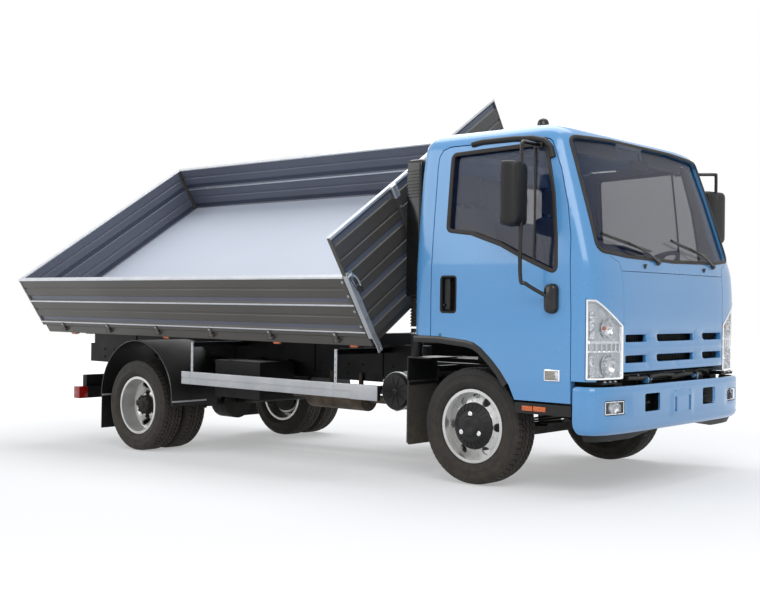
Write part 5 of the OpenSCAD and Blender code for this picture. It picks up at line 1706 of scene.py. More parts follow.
# ---- the cab's front ----
def nose_at(points, out=0.0):
    """Points given in Y and Z, laid on the cab's front and lifted off it."""
    made = []
    for y, z in points:
        x = float(nose_x(y, z))
        slope_y = (float(nose_x(y + 2, z)) - float(nose_x(y - 2, z))) / 4
        slope_z = (float(nose_x(y, z + 2)) - float(nose_x(y, z - 2))) / 4
        n = Vector((1, -slope_y, -slope_z)).normalized()
        made.append(Vector((x, y, z)) + n * out)
    return made


class TRUCK_OT_front_panel(bpy.types.Operator):
    """The nose panel with its slots, dark louvres behind them, wipers, washer nozzles and panel line"""
    bl_idname = "truck.front_panel"
    bl_label = "Nose panel"

    SLOTS = [(-662, -395), (-250, 250), (395, 662)]
    ROWS = [(938, 982), (812, 856)]

    def execute(self, context):
        slots = [rounded([(a, low), (b, low), (b, high), (a, high)], 8, 3)
                 for low, high in self.ROWS for a, b in self.SLOTS]
        outer = grown_outline(nose_panel_outline(), -2.5)
        sheet = cut_sheet(outer, slots, 30)
        bm = bmesh.new()

        def swell(points):
            """The louvre bars stand proud of the panel between the slots, and lean back below them."""
            made = []
            for (y, z), p in zip(points, nose_at(points, SKIN)):
                wide = max(0.0, 1 - (abs(y) / 668) ** 16)
                out = 0.0
                if z < 1000:
                    out = 10 * math.exp(-((z - 897) / 24) ** 2) + 14 * math.exp(-((z - 778) / 26) ** 2)
                    channel = math.exp(-((z - 964) / 24) ** 4) + math.exp(-((z - 836) / 24) ** 4)
                    upright = math.exp(-((abs(y) - 322) / 62) ** 6)
                    out -= channel * (18 - 11 * upright)
                made.append(p + Vector((out * wide, 0, 0)))
            return made

        near = add_sheet(bm, sheet, swell(sheet[0]), False, 0)
        far = add_sheet(bm, sheet, nose_at(sheet[0], -34), True, 0)
        for a, b in zip(near, far):
            wall(bm, b, a, False, 0)
        panel = put(mend(bm), "nose_panel", "cab", TRUCK, looks("paint"), ("front_panel",), 40)
        soften(panel, 3.0, 2)
        self.louvres()
        self.wipers()
        bm = bmesh.new()
        # the panel's dark shut line, carried on to the windscreen's corners
        for side in BOTH:
            line = [(699, 1369), (712, 1420), (790, 1452)]
            run = [SHEET.nose_point(side * y, z) for y, z in open_run(line, 20)]
            skin_bead(bm, run, half_round(3.5, 0.8), closed=False, lift=-0.4)
        put(mend(bm), "nose_seams", "cab", TRUCK, looks("seal"), smooth=50)
        return {"FINISHED"}

    def louvres(self):
        """Upright dark fins in a row behind the slots, on two cross bars."""
        fin = bmesh.new()
        profile = rounded([(-14, -26), (12, -22), (12, 22), (-14, 26)], 4, 2)
        loft(fin, [[Vector((p[0], t, p[1])) for p in profile] for t in (-2, 2)])
        bmesh.ops.recalc_face_normals(fin, faces=fin.faces)
        mesh = as_mesh(fin, "fin")
        count, step = 57, 22.0
        parts = []
        for low, high in self.ROWS:
            start = Matrix.Translation((895, -(count - 1) * step / 2, (low + high) / 2))
            parts.append(grown(mesh.copy(), row_tree, {"Count": count, "Step": (0.0, step * MM, 0.0),
                                                       "Material": look("plastic")}, "fins",
                               metres(TRUCK @ start)))
        bm = bmesh.new()
        for part in parts:
            bm.from_mesh(part)
        whole = bpy.data.meshes.new("louvres")
        bm.to_mesh(whole)
        bm.free()
        whole.materials.append(look("plastic"))
        show(whole, "louvre_fins", "cab")
        bm = bmesh.new()
        for low, high in self.ROWS:
            z = (low + high) / 2
            for h in (-9, 9):
                rod(bm, (893, -640, z + h), (893, 640, z + h), 3.5, 10)
            block(bm, (858, -650, low - 14), (872, 650, high + 14))
        put(mend(bm), "louvre_bars", "cab", TRUCK, looks("gloss"))

    def wipers(self):
        bm = bmesh.new()
        for y0, y1 in ((-235, -830), (560, 20)):
            foot = nose_at([(y0, 1432)], 14)[0]
            knee = nose_at([(y0 * 0.62 + y1 * 0.38, 1500)], 34)[0]
            mid = nose_at([(y0 * 0.42 + y1 * 0.58, 1538)], 22)[0]
            rod(bm, nose_at([(y0, 1432)], 1)[0], foot + Vector((10, 0, 2)), 19, 20, 0, 15)
            tube(bm, [foot, (foot + knee) / 2 + Vector((5, 0, 3)), knee, mid], 7.5, 10)
            blade = [nose_at([(y0 + (y1 - y0) * t, 1492 + 92 * t - 34 * t * (1 - t))], 8)[0]
                     for t in [0.12 + 0.88 * k / 16 for k in range(17)]]
            normals = [Vector((1, 0, 0.35)).normalized()] * len(blade)
            profile = [(-9, 6), (-5, 2), (-2, -7), (2, -7), (5, 2), (9, 6), (4, 13), (-4, 13)]
            bead(bm, blade, normals, profile, False)
            yoke = [blade[4] + Vector((10, 0, 4)), mid, blade[12] + Vector((10, 0, 4))]
            tube(bm, yoke, 5, 8)
        for y in (-412, 412):
            foot = nose_at([(y, 1402)], 0)[0]
            rod(bm, foot, foot + Vector((9, 0, 1)), 17, 20, 0, 13)
            rod(bm, foot + Vector((6, 0, 1)), foot + Vector((15, 2, 16)), 7, 12, 0, 5)
        put(mend(bm), "wipers", "cab", TRUCK, looks("gloss"), smooth=40)


class TRUCK_OT_headlamps(bpy.types.Operator):
    """Both headlamps: bright bezel, reflector bowls, ribbed strip, bulbs and clear lens"""
    bl_idname = "truck.headlamps"
    bl_label = "Headlamps"

    def plate(self, bm, sheet, high, low, side, mat):
        """A curved plate between two heights over the cab's skin."""
        near = add_sheet(bm, sheet, [Vector(p) for p in skin_at(sheet[0], high)], side < 0, mat)
        far = add_sheet(bm, sheet, [Vector(p) for p in skin_at(sheet[0], low)], side > 0, mat)
        for a, b in zip(near, far):
            wall(bm, b, a, side < 0, mat)

    def lamp(self, side, name):
        def corner(points, out):
            """Round the cab's corner: points are (distance round from the inner edge, height)."""
            return [Vector(p) for p in skin_at(np.array(points), out)]

        inner = SHEET.nose_point(side * 691, 900)[0]
        rear = SHEET.side_point(864, 900, side)[0]
        wide = abs(rear) - abs(inner)

        def spot(s, z):
            return (inner + (rear - inner) * s, float(SHEET.row(z)))

        def outline(grow):
            shape = [(0.0, 716), (1.0, 716), (1.0, 1196), (0.80, 1194), (0.72, 1180), (0.0, 1040)]
            flat = [(s * wide, z) for s, z in shape]
            return [spot(p[0] / wide, p[1]) for p in divided(grown_outline(rounded(flat, 12, 4), grow), 24)]

        bm = bmesh.new()
        # bezel
        rings = [corner(outline(-2), SKIN + 0.5), corner(outline(-4), 6), corner(outline(-14), 6),
                 corner(outline(-18), -2), corner(outline(-20), -16)]
        loft(bm, rings, 0, True, False)
        # housing behind everything
        loft(bm, [corner(outline(-3), -1), corner(outline(-3), -58)], 1, True, False)
        loft(bm, [corner(outline(-3), -58), corner(outline(-3), -60)], 1, True, True)
        bowls = ((0.45, 1022, 60, 44), (0.42, 802, 66, 44))
        around = cut_sheet(outline(-4), [oval(spot(s, z), (r + 1, r + 1), 32) for s, z, r, _ in bowls], 26)
        self.plate(bm, around, -15, -19, side, 1)
        # divider and ribbed strip
        for z, tall, lift in ((938, 16, 2), (882, 12, 0), (878, 4, 4)):
            run = [spot(s, z) for s in np.linspace(0.03, 0.97, 18)]
            bead(bm, [Vector(p) for p in skin_at(run, -9)], [Vector(n) for n in skin_normal(np.array(run))],
                 [(-tall / 2, -8), (tall / 2, -8), (tall / 2, lift - 3), (0, lift), (-tall / 2, lift - 3)],
                 False, 0)
        for s in np.linspace(0.1, 0.92, 7):
            run = [spot(s, z) for z in (886, 900, 915, 932)]
            bead(bm, [Vector(p) for p in skin_at(run, -10)], [Vector(n) for n in skin_normal(np.array(run))],
                 half_round(5, 9, 5), False, 0)
        put(mend(bm), "headlamp_bezel_" + name, "cab", TRUCK, looks("chrome", "housing"),
            ("headlamps",), 40)
        bm = bmesh.new()
        # two bowls, each a deep dish with a bulb shield
        for s, z, r, deep in bowls:
            centre = Vector(skin_at([spot(s, z)], -12)[0])
            axis = (Vector((1, 0, 0)) + Vector(skin_normal(np.array([spot(s, z)]))[0])).normalized()
            profile = [(r + 5, -2), (r, 1), (r - 4, -4), (r * 0.8, -deep * 0.45), (r * 0.5, -deep * 0.82),
                       (r * 0.22, -deep), (0.5, -deep)]
            up = Vector((0, 0, 1))
            x = axis.cross(up).normalized()
            place = axes_matrix(x, axis, x.cross(axis), centre)
            dish = bmesh.new()
            lathe(dish, profile, 40)
            lathe(dish, [(0.5, -deep * 0.9), (11, -deep * 0.86), (13, -deep * 0.5), (9, -deep * 0.3),
                         (0.5, -deep * 0.26)], 24, 3 if z > 900 else 1)
            bmesh.ops.transform(dish, matrix=place, verts=dish.verts)
            whole = bpy.data.meshes.new("dish")
            dish.to_mesh(whole)
            dish.free()
            bm.from_mesh(whole)
        # position lamp at the outer end
        for z0, z1 in ((960, 1120), (735, 862)):
            run = [spot(0.86, z) for z in np.linspace(z0, z1, 8)]
            bead(bm, [Vector(p) for p in skin_at(run, -14)], [Vector(n) for n in skin_normal(np.array(run))],
                 half_round(34, 10, 7), False, 2)
        put(mend(bm), "headlamp_bowls_" + name, "cab", TRUCK, looks("reflector", "chrome", "reflector",
                                                                              "orange"),
            smooth=30)
        bm = bmesh.new()
        self.plate(bm, cut_sheet(outline(-13), [], 26), 3.6, 0.6, side, 0)
        put(mend(bm), "headlamp_lens_" + name, "cab", TRUCK, looks("lens"), smooth=50)

    def execute(self, context):
        self.lamp(-1, "right")
        self.lamp(1, "left")
        return {"FINISHED"}


class TRUCK_OT_bumper(bpy.types.Operator):
    """The bumper: swept shell with lamp recesses, towing openings, plate plinth, and the apron below it"""
    bl_idname = "truck.bumper"
    bl_label = "Bumper"

    LOW, HIGH = 393.0, 677.0

    def surface(self, points, out=0.0):
        """Points given as (Y, Z) on the bumper's face: a waist, a stepped shoulder and a tucked-in foot."""
        made = []
        for y, z in points:
            t = (z - self.LOW) / (self.HIGH - self.LOW)
            foot = 26 * (1 - min(t / 0.13, 1)) ** 2
            crown = 12 * max(0, (t - 0.92) / 0.08) ** 2
            waist = 5 * math.exp(-((t - 0.2) / 0.03) ** 2)
            drop = foot + crown + waist
            made.append(self.plan(y, drop - out) + Vector((0, 0, z)))
        return made

    def plan(self, s, inset):
        """A place in the plan of the bumper; s runs from the middle to 1.25 half widths round the corner."""
        half, front, back = 1000.0 - inset, 995.0 - inset, 790.0
        flat = abs(s)
        turn = min(flat / 1200.0, 1.0) * math.pi / 2
        c, w = max(math.cos(turn), 0.0), math.sin(turn)
        x = back + (front - back) * c ** 0.4
        return Vector((x, math.copysign(half * w ** 0.4, s), 0))

    def execute(self, context):
        # the sheet is laid out along the true length of the plan
        runs = np.linspace(0, 1200, 241)
        places = np.array([tuple(self.plan(s, 0).xy) for s in runs])
        length = np.concatenate([[0], np.cumsum(np.hypot(*np.diff(places, axis=0).T))])

        def to_run(d):
            return math.copysign(float(np.interp(abs(d), length, runs)), d)

        def from_y(y):
            last = int(np.argmax(places[:, 1] >= abs(y))) if places[-1, 1] > abs(y) else len(runs) - 1
            found = float(np.interp(abs(y), places[:last + 1, 1], length[:last + 1]))
            return math.copysign(found, y)

        end = float(length[-1])
        tows, fogs = [], []
        for side in BOTH:
            low, high = sorted((from_y(side * 300), from_y(side * 492)))
            tows.append(rounded([(low, 512), (high, 512), (high, 622), (low, 622)], 14, 4))
            low, high = sorted((from_y(side * 715), from_y(side * 905)))
            fogs.append(rounded([(low, 508), (high, 508), (high, 596), (low, 596)], 14, 4))
        holes = tows + fogs
        for y in (-62, 62):
            a, b = from_y(y - 22), from_y(y + 22)
            holes.append(rounded([(a, 490), (b, 490), (b, 586), (a, 586)], 5, 2))
            holes.append(oval((from_y(y), 622), (7, 7), 14))
        outer = [(-end, self.LOW), (end, self.LOW), (end, self.HIGH), (-end, self.HIGH)]
        outer = rounded(outer, [55, 55, 12, 12], 5)
        sheet = cut_sheet(outer, holes, 27)

        def laid(points, out):
            made = self.surface([(to_run(d), z) for d, z in points], out)
            for i, (d, z) in enumerate(points):
                plinth = max(0.0, min(1.0, (150 - abs(d)) / 8)) * max(0.0,
                                                                      min(1.0, (z - 466) / 8, (612 - z) / 8))
                fog = 0.0
                for side in BOTH:
                    mid = from_y(side * 800)
                    fog = max(fog, 1 - max(abs(d - mid) / 150, abs(z - 552) / 66))
                made[i].x += 7 * plinth - 9 * max(0.0, min(1.0, fog * 3.5))
            return made

        bm = bmesh.new()
        near = add_sheet(bm, sheet, laid(sheet[0], 0), False, 0)
        far = add_sheet(bm, sheet, laid(sheet[0], -16), True, 1)
        for a, b in zip(near, far):
            wall(bm, b, a, False, 0)
        piece = put(mend(bm), "bumper_shell", "chassis", TRUCK, looks("paint", "plastic"),
                    ("bumper",),
                    40)
        soften(piece, 3, 2)

        bm = bmesh.new()
        # recess tubs behind the openings, towing loops, brackets
        for outline, deep in [(o, 60) for o in tows] + [(o, 40) for o in fogs]:
            grown_o = grown_outline(outline, 3)
            rings = [laid(grown_o, -10), laid(grown_o, -14 - deep)]
            loft(bm, rings, 0, True, False)
            bm.faces.new([bm.verts.new(p) for p in rings[-1]])
        for side in BOTH:
            y = side * 396
            tube(bm, [(905, y - 44, 560), (938, y - 40, 562), (962, y, 564), (938, y + 40, 562),
                      (905, y + 44, 560)],
                 10, 12, 1)
            block(bm, (890, y - 60, 536), (908, y + 60, 590), 1)
            # cab mounts above the bumper
            block(bm, (800, side * 905, 690), (930, side * 720, 706), 1)
            block(bm, (846, side * 700, 640), (900, side * 610, 690), 1)
        block(bm, (868, -600, 640), (884, 600, 668), 1)
        put(mend(bm), "bumper_tubs", "chassis", TRUCK, looks("plastic", "chassis"),
            smooth=40, weld=0.05)

        bm = bmesh.new()
        for outline in fogs:
            shrunk = grown_outline(outline, -5)
            loft(bm, [laid(shrunk, -2), laid(grown_outline(outline, -11), -3),
                      laid(grown_outline(outline, -13), -12)],
                 0, True, False)
            pane = cut_sheet(divided(grown_outline(outline, -10), 22), [], 22)
            near = add_sheet(bm, pane, laid(pane[0], -6), False, 1)
            far = add_sheet(bm, pane, laid(pane[0], -10), True, 1)
            for a, b in zip(near, far):
                wall(bm, b, a, False, 1)
            mid = np.array(outline).mean(0)
            centre = laid([tuple(mid)], -12)[0]
            ahead = (laid([tuple(mid)], 0)[0] - laid([tuple(mid)], -20)[0]).normalized()
            x = ahead.cross(Vector((0, 0, 1))).normalized()
            dish = bmesh.new()
            lathe(dish, [(40, 2), (34, -8), (18, -18), (6, -20), (0.5, -20)], 28, 2)
            bmesh.ops.transform(dish, matrix=axes_matrix(x, ahead, x.cross(ahead), centre), verts=dish.verts)
            whole = bpy.data.meshes.new("fog_dish")
            dish.to_mesh(whole)
            dish.free()
            bm.from_mesh(whole)
        put(mend(bm), "fog_lamps", "chassis", TRUCK, looks("chrome", "lens", "reflector"),
            smooth=35)

        bm = bmesh.new()
        # rubber apron under the bumper, pulled in and up towards the middle
        rings_low = []
        for d in np.linspace(-end * 0.94, end * 0.94, 61):
            share = abs(d) / end
            drop = 44 * min(1, max(0, (share - 0.22) / 0.3)) + 8
            p = self.surface([(to_run(d), self.LOW + 10)], -26)[0]
            q = self.surface([(to_run(d), self.LOW + 10)], -46)[0]
            rings_low.append([p, p + Vector((0, 0, -10)), q + Vector((0, 0, -drop)),
                              q + Vector((-7, 0, -drop)), p + Vector((-12, 0, -8)), p + Vector((-12, 0, 0))])
        loft(bm, rings_low)
        put(mend(bm), "bumper_apron", "chassis", TRUCK, looks("plastic"), smooth=40)
        spots = [((935, side * y, 707), (0, 0, 1)) for side in BOTH for y in (760, 820, 880)]
        bolts("lamp_foot_bolts", "cab", TRUCK, spots, 8, 6, look("zinc"))
        spots = [((885, y, 654), (1, 0, 0)) for y in (-560, -300, 300, 560)]
        bolts("front_mount_bolts", "chassis", TRUCK, spots, 8, 6, look("zinc"))
        self.engine_bay()
        return {"FINISHED"}

    def engine_bay(self):
        """Hoses and a cooler's edge that show between the nose panel and the bumper."""
        bm = bmesh.new()
        tube(bm, [(905, -560, 716), (915, -380, 712), (912, -150, 724), (900, 60, 716)], 13, 14, 0, 10, 1.2)
        tube(bm, [(890, 40, 700), (905, 240, 716), (900, 420, 708), (870, 520, 690)], 17, 14, 0, 10, 1.4)
        tube(bm, [(900, 300, 722), (912, 430, 738), (905, 560, 716), (880, 600, 690)], 9, 12, 1, 8)
        rod(bm, (895, -640, 735), (895, 640, 735), 11, 16, 2)
        rod(bm, (870, -600, 700), (870, 600, 700), 15, 16, 2)
        for y in (-420, -60, 200):
            rod(bm, (900, y, 735), (912, y, 712), 8, 12, 3)
        put(mend(bm), "front_hoses", "chassis", TRUCK, looks("hose", "seal", "chassis", "zinc"),
            smooth=40)


# ---- tyres and wheels ----
RIM_R, RIM_W = 237.0, 152.0


class TRUCK_OT_tyres(bpy.types.Operator):
    """All six tyres: moulded sidewalls, and a tread repeated round the tyre"""
    bl_idname = "truck.tyres"
    bl_label = "Tyres"

    def carcass(self, bm, wide, shift, depth, steps=144):
        """Both sidewalls, beads and the ground between the tread's blocks."""
        half, rim = wide / 2, RIM_W / 2
        r = TYRE_R
        side = [(RIM_R - 13, rim - 1), (RIM_R + 1, rim - 0.5), (RIM_R + 4, rim + 6), (RIM_R + 10, rim + 14),
                (RIM_R + 13, rim + 15), (RIM_R + 15, rim + 18), (RIM_R + 30, half - 4.5),
                (RIM_R + 44, half - 1.5),
                (RIM_R + 46, half - 0.2), (RIM_R + 50, half - 0.2), (RIM_R + 52, half - 1.2),
                (RIM_R + 70, half - 0.5), (r - 52, half - 2), (r - 50, half - 0.8), (r - 44, half - 0.8),
                (r - 42, half - 3.5), (r - 26, half - 7), (r - 20, half - 11), (r - depth - 1, half - 16)]
        profile = side + [(a, -b) for a, b in reversed(side)]
        lathe(bm, [(a, b + shift) for a, b in profile], steps)

    def block_set(self, wide, shift, depth, count):
        """One pitch of the tread: a shoulder block each side and three ribs, wandering across the pitch."""
        bm = bmesh.new()
        pitch = 2 * math.pi / count
        r, half = TYRE_R, wide / 2
        ribs = [(-half + 15, -half + 50, 0.0, 0.86, 1.0), (-half + 58, -26, 0.18, 1.0, 0.0),
                (-18, 18, 0.0, 1.0, 0.0),
                (26, half - 58, 0.18, 1.0, 0.0), (half - 50, half - 15, 0.0, 0.86, 1.0)]
        for a, b, lean, share, shoulder in ribs:
            steps = 4
            rings = []
            for i in range(steps + 1):
                t = i / steps
                swing = 7 * math.sin(2 * math.pi * t) if not shoulder else 0
                angle = (t * share + (1 - share) / 2) * pitch
                lo, hi = a + swing, b + swing
                drop = [1.5 + 4.5 * (abs(y) / half) ** 4 for y in (lo, hi)]
                foot = r - depth - 4
                if shoulder:
                    lo_r, hi_r = (r - 9 if a < 0 else r - drop[0]), (r - drop[1] if a < 0 else r - 9)
                    outer = -half + 11 if a < 0 else half - 11
                    if a < 0:
                        ring = [(foot - 12, outer - 1), (r - 22, outer + 1), (r - 8, a + 3), (hi_r, hi),
                                (foot, hi)]
                    else:
                        ring = [(foot, lo), (lo_r, lo), (r - 8, b - 3), (r - 22, outer - 1),
                                (foot - 12, outer + 1)]
                else:
                    ring = [(foot, lo), (r - drop[0], lo + 1), (r - drop[1], hi - 1), (foot, hi)]
                rings.append([Vector((p * math.cos(angle), y + shift, p * math.sin(angle))) for p,
                              y in ring])
            loft(bm, rings)
        bmesh.ops.recalc_face_normals(bm, faces=bm.faces)
        return bm

    def tyre(self, name, body, matrix, shifts, replaces):
        sizes = bpy.context.scene.truck_sizes
        whole = bmesh.new()
        for shift in shifts:
            part = self.block_set(TYRE_W, shift, sizes.tread_depth, sizes.tread_pitches)
            mesh = grown(as_mesh(part, "tread"), ring_tree, {"Count": sizes.tread_pitches, "Weld": 0.00001,
                                                            "Material": look("tyre")}, name)
            mesh.transform(Matrix.Scale(1 / MM, 4))
            whole.from_mesh(mesh)
            self.carcass(whole, TYRE_W, shift, sizes.tread_depth)
        for face in whole.faces:
            face.material_index = 0
        put(mend(whole), name, body, matrix, looks("tyre"), replaces, 32)

    def execute(self, context):
        for side, name in ((-1, "right"), (1, "left")):
            front = wheel_frame("front_wheel_%s_spin" % name, side)
            self.tyre("front_tyre_" + name, "front_wheel_" + name, front, (0,), ("tyre_front_" + name,))
            rear = wheel_frame("rear_wheels_%s_spin" % name, side)
            low, high = extent("tyres_rear_" + name, rear)
            self.tyre("rear_tyres_" + name, "rear_wheels_" + name, rear,
                      (low.y + TYRE_W / 2, high.y - TYRE_W / 2),
                      ("tyres_rear_" + name,))
        return {"FINISHED"}


class TRUCK_OT_wheels(bpy.types.Operator):
    """Silver steel wheels' fittings: hub covers, nuts, studs, hand-hole rims and valves"""
    bl_idname = "truck.wheels"
    bl_label = "Wheel fittings"

    def hub(self, bm, matrix_y, radius, ring, knob):
        """A ribbed hub cover: radius outside, ring the raised ring, knob the cap's radius."""
        y = matrix_y
        profile = [(radius, y - 10), (radius, y + 2), (radius - 4, y + 6), (radius - 12, y + 8),
                   (ring + 12, y + 12),
                   (ring + 8, y + 20), (ring, y + 24), (ring - 4, y + 24), (ring - 8, y + 18),
                   (knob + 8, y + 16),
                   (knob + 3, y + 20), (knob, y + 26), (knob - 3, y + 28), (0.5, y + 28), ]
        lathe(bm, profile, 64)

    def front(self, side, name):
        matrix = wheel_frame("front_wheel_%s_spin" % name, side)
        body = "front_wheel_" + name
        bm = bmesh.new()
        lathe(bm, [(151, 63), (150, 68), (143, 74), (100, 97), (97, 100), (93, 101), (70, 103), (66, 105),
                   (62, 114),
                   (58, 117), (30, 118), (26, 116), (0.5, 116)], 72)
        for i in range(24):
            t = 2 * math.pi * i / 24
            a, b = Vector((math.cos(t), 0, math.sin(t))), Vector((-math.sin(t), 0, math.cos(t)))
            loft(bm, [[a * r + b * s * 2.5 + Vector((0, y + h, 0)) for s,
                       h in ((-1, -3), (1, -3), (1, 3), (-1, 3))]
                      for r, y in ((104, 95), (140, 75.5))])
        put(mend(bm), "hub_cover_" + body, body, matrix, looks("plastic"), smooth=40, weld=0.05)
        spots = [((80 * math.cos(t), 102, 80 * math.sin(t)), (0, 1, 0))
                 for t in (math.pi / 2 + 2 * math.pi * i / 3 for i in range(3))]
        bolts("hub_bolts_" + body, body, matrix, spots, 11, 7, look("chrome"))
        self.rims(body, matrix, lambda r: 62 + (30 + 8 - 62) / 46 * (r - 150), 30 + 2)

    def rear(self, side, name):
        matrix = wheel_frame("rear_wheels_%s_spin" % name, side)
        body = "rear_wheels_" + name
        bm = bmesh.new()
        lathe(bm, [(114, 12), (114, 88), (111, 96), (104, 100), (92, 102), (70, 102)], 64, 0)
        lathe(bm, [(82, 101), (82, 112), (78, 116), (76, 136), (72, 148), (68, 152), (60, 154), (52, 158),
                   (30, 160), (28, 166), (16, 168), (0.5, 168)], 64, 1)
        put(mend(bm), "hub_cover_" + body, body, matrix, looks("silver", "iron"), smooth=40,
            weld=0.05)
        spots = [((66 * math.cos(t), 153, 66 * math.sin(t)), (0, 1, 0))
                 for t in (2 * math.pi * i / 8 for i in range(8))]
        bolts("shaft_bolts_" + body, body, matrix, spots, 9, 9, look("iron"))
        spots = [((97 * math.cos(t), 101, 97 * math.sin(t)), (0, 1, 0))
                 for t in (2 * math.pi * (i + 0.5) / 6 for i in range(6))]
        bolts("wheel_nuts_" + body, body, matrix, spots, 16, 22, look("iron"))
        self.rims(body, matrix, self.rear_face, self.rear_face(196) + 2)

    def rims(self, body, matrix, height, base):
        """Rolled edges round the hand holes of a face whose height follows the radius, and the valve."""
        bm = bmesh.new()
        middle, hole, steps = 178.0, 28, 28
        section = [(-3.5, -4), (-3.5, 1.2), (-1, 2.6), (3, 2.2), (5, -0.5), (5, -4)]
        for i in range(6):
            t = (i + 0.5) * math.pi / 3
            a, b = Vector((math.cos(t), 0, math.sin(t))), Vector((-math.sin(t), 0, math.cos(t)))
            loop = []
            for k in range(steps):
                u = 2 * math.pi * k / steps
                ring = []
                for out, up in section:
                    w = hole + out
                    r = middle + w * math.sin(u)
                    p = a * r + b * (w * math.cos(u))
                    ring.append(bm.verts.new(p + Vector((0, height(r) + up, 0))))
                loop.append(ring)
            for k, ring in enumerate(loop):
                after = loop[(k + 1) % steps]
                for j in range(len(section) - 1):
                    bm.faces.new((ring[j], ring[j + 1], after[j + 1], after[j]))
        put(mend(bm), "hand_hole_rims_" + body, body, matrix, looks("silver"), smooth=50)
        bm = bmesh.new()
        # the valve and its stem
        rod(bm, (0, base, 205), (0, base + 22, 198), 5, 12, 0)
        rod(bm, (0, base + 22, 198), (0, base + 34, 194), 6.5, 12, 1)
        put(mend(bm), "valve_" + body, body, matrix, looks("zinc", "gloss"), smooth=40)

    def rear_face(self, r):
        """Height of the outer rear disc's outside at a radius."""
        return float(np.interp(r, [60, 150, 196, 214], [12, 12, 66, 72]))

    def execute(self, context):
        for side, name in ((-1, "right"), (1, "left")):
            self.front(side, name)
            self.rear(side, name)
        return {"FINISHED"}


# ---- mirrors, seats, intake and what hangs on the frame ----
REAR_PLACE = (TRUCK.inverted() @ wheel_frame("rear_wheels_right_spin", -1)).translation
REAR_AXLE_X, REAR_HUB = REAR_PLACE.x, REAR_PLACE.z


def quick_box(bm, low, high, matrix=Matrix(), edge=4, mat=0):
    """A block with its edges rounded, placed by a matrix."""
    part = bmesh.new()
    block(part, low, high)
    bmesh.ops.bevel(part, geom=part.edges[:], offset=edge, segments=2, profile=0.5, affect="EDGES")
    bmesh.ops.transform(part, matrix=matrix, verts=part.verts)
    made = [bm.verts.new(v.co) for v in part.verts]
    for face in part.faces:
        bm.faces.new([made[v.index] for v in face.verts]).material_index = mat
    part.free()


class TRUCK_OT_mirrors(bpy.types.Operator):
    """The two door mirrors: shells on tube arms, with their glass, brackets and cup"""
    bl_idname = "truck.mirrors"
    bl_label = "Door mirrors"

    def mirror(self, side, name, lead):
        high, low, x = 2135, 1300, 500
        out = 1150
        bm = bmesh.new()
        turn = Matrix.Translation((467 + lead, side * out,
                                   1822)) @ Matrix.Rotation(math.radians(-12 * side), 4, "Z")
        stations = [(-50, 0.97), (-46, 1.0), (-20, 1.0), (10, 0.99), (32, 0.95), (44, 0.86), (50, 0.7),
                    (53, 0.4)]
        loft(bm, [[turn @ Vector((dx, y * s, z * (0.35 + 0.65 * s))) for y, z in rounded(
            [(-103, -193), (103, -193), (103, 193), (-103, 193)], [34] * 4, 6)] for dx, s in stations])
        put(mend(bm), "mirror_shell_" + name, "door_" + name, TRUCK, looks("plastic"),
            ("mirror_" + name,), 50)
        bm = bmesh.new()
        glass = rounded([(-86, -168), (86, -168), (86, 168), (-86, 168)], [26] * 4, 6)
        loft(bm, [[turn @ Vector((dx, y, z)) for y, z in glass] for dx in (-52, -48)], 0)
        rim = grown_outline(glass, 7)
        loft(bm, [[turn @ Vector((dx, y, z)) for y, z in rim] for dx in (-50.5, -46)], 1)
        put(mend(bm), "mirror_glass_" + name, "door_" + name, TRUCK, looks("mirror", "seal"),
            smooth=40)
        bm = bmesh.new()
        foot = 640
        at = side * (out - 20)
        inner = side * (side_y(x, high) + 16)
        base = side * 1005
        tube(bm, [(x, inner, high), (x + lead * 0.5, (inner + at) / 2, high),
                  (x + lead, at - side * 26, high),
                  (x + lead, at - side * 7, high - 7), (x + lead, at, high - 26), (x + lead, at, 2000),
                  (x + lead, at, 1700), (x + lead, at, low + 30),
                  (x + lead + (foot - x - lead) * 0.2, at - side * 26, low - 21),
                  (foot, base + side * 6, low - 105)],
             12, 16, 0, 60)
        # the foot: a tall oval cover on the door
        plan = [(-44, -88), (44, -88), (44, 88), (-44, 88)]
        rings = [[Vector((foot + px, side * (996 + h), low - 105 + pz))
                  for px, pz in grown_outline(rounded(plan, [40] * 4, 8), grow)]
                 for h, grow in ((0, 2), (6, 2), (8, 0), (26, -2), (36, -9), (41, -20))]
        loft(bm, rings)
        for z in (high,):
            y = side * side_y(x, z)
            quick_box(bm, (x - 44, y + side * 1, z - 17), (x + 22, y + side * 21, z + 17), edge=4)
        for z in (1690, 1960):
            quick_box(bm, (x + lead - 22, at - side * 20, z - 16), (x + lead + 14, at + side * 16, z + 16),
                      edge=3)
        put(mend(bm), "mirror_arm_" + name, "door_" + name, TRUCK, looks("gloss"),
            smooth=50)

    def execute(self, context):
        self.mirror(-1, "right", 0)
        self.mirror(1, "left", bpy.context.scene.truck_sizes.far_mirror_lead)
        return {"FINISHED"}


def cushion(name, outline, low, high, place, fill, key="cloth"):
    """A stuffed pad: a rounded block, which blow() then blows up by cloth simulation between its seams."""
    bm = bmesh.new()
    ring = rounded(outline, [30] * len(outline), 5)
    levels = [(low, -16), (low + 10, -4), (low + 24, 0), ((low + high) / 2, 3), (high - 24, 0),
              (high - 8, -6),
              (high, -20)]
    loft(bm, [[Vector((x, y, z)) for x, y in grown_outline(ring, grow)] for z, grow in levels])
    piece = put(mend(bm), name, "cab", TRUCK @ place, looks(key), smooth=60)
    return piece


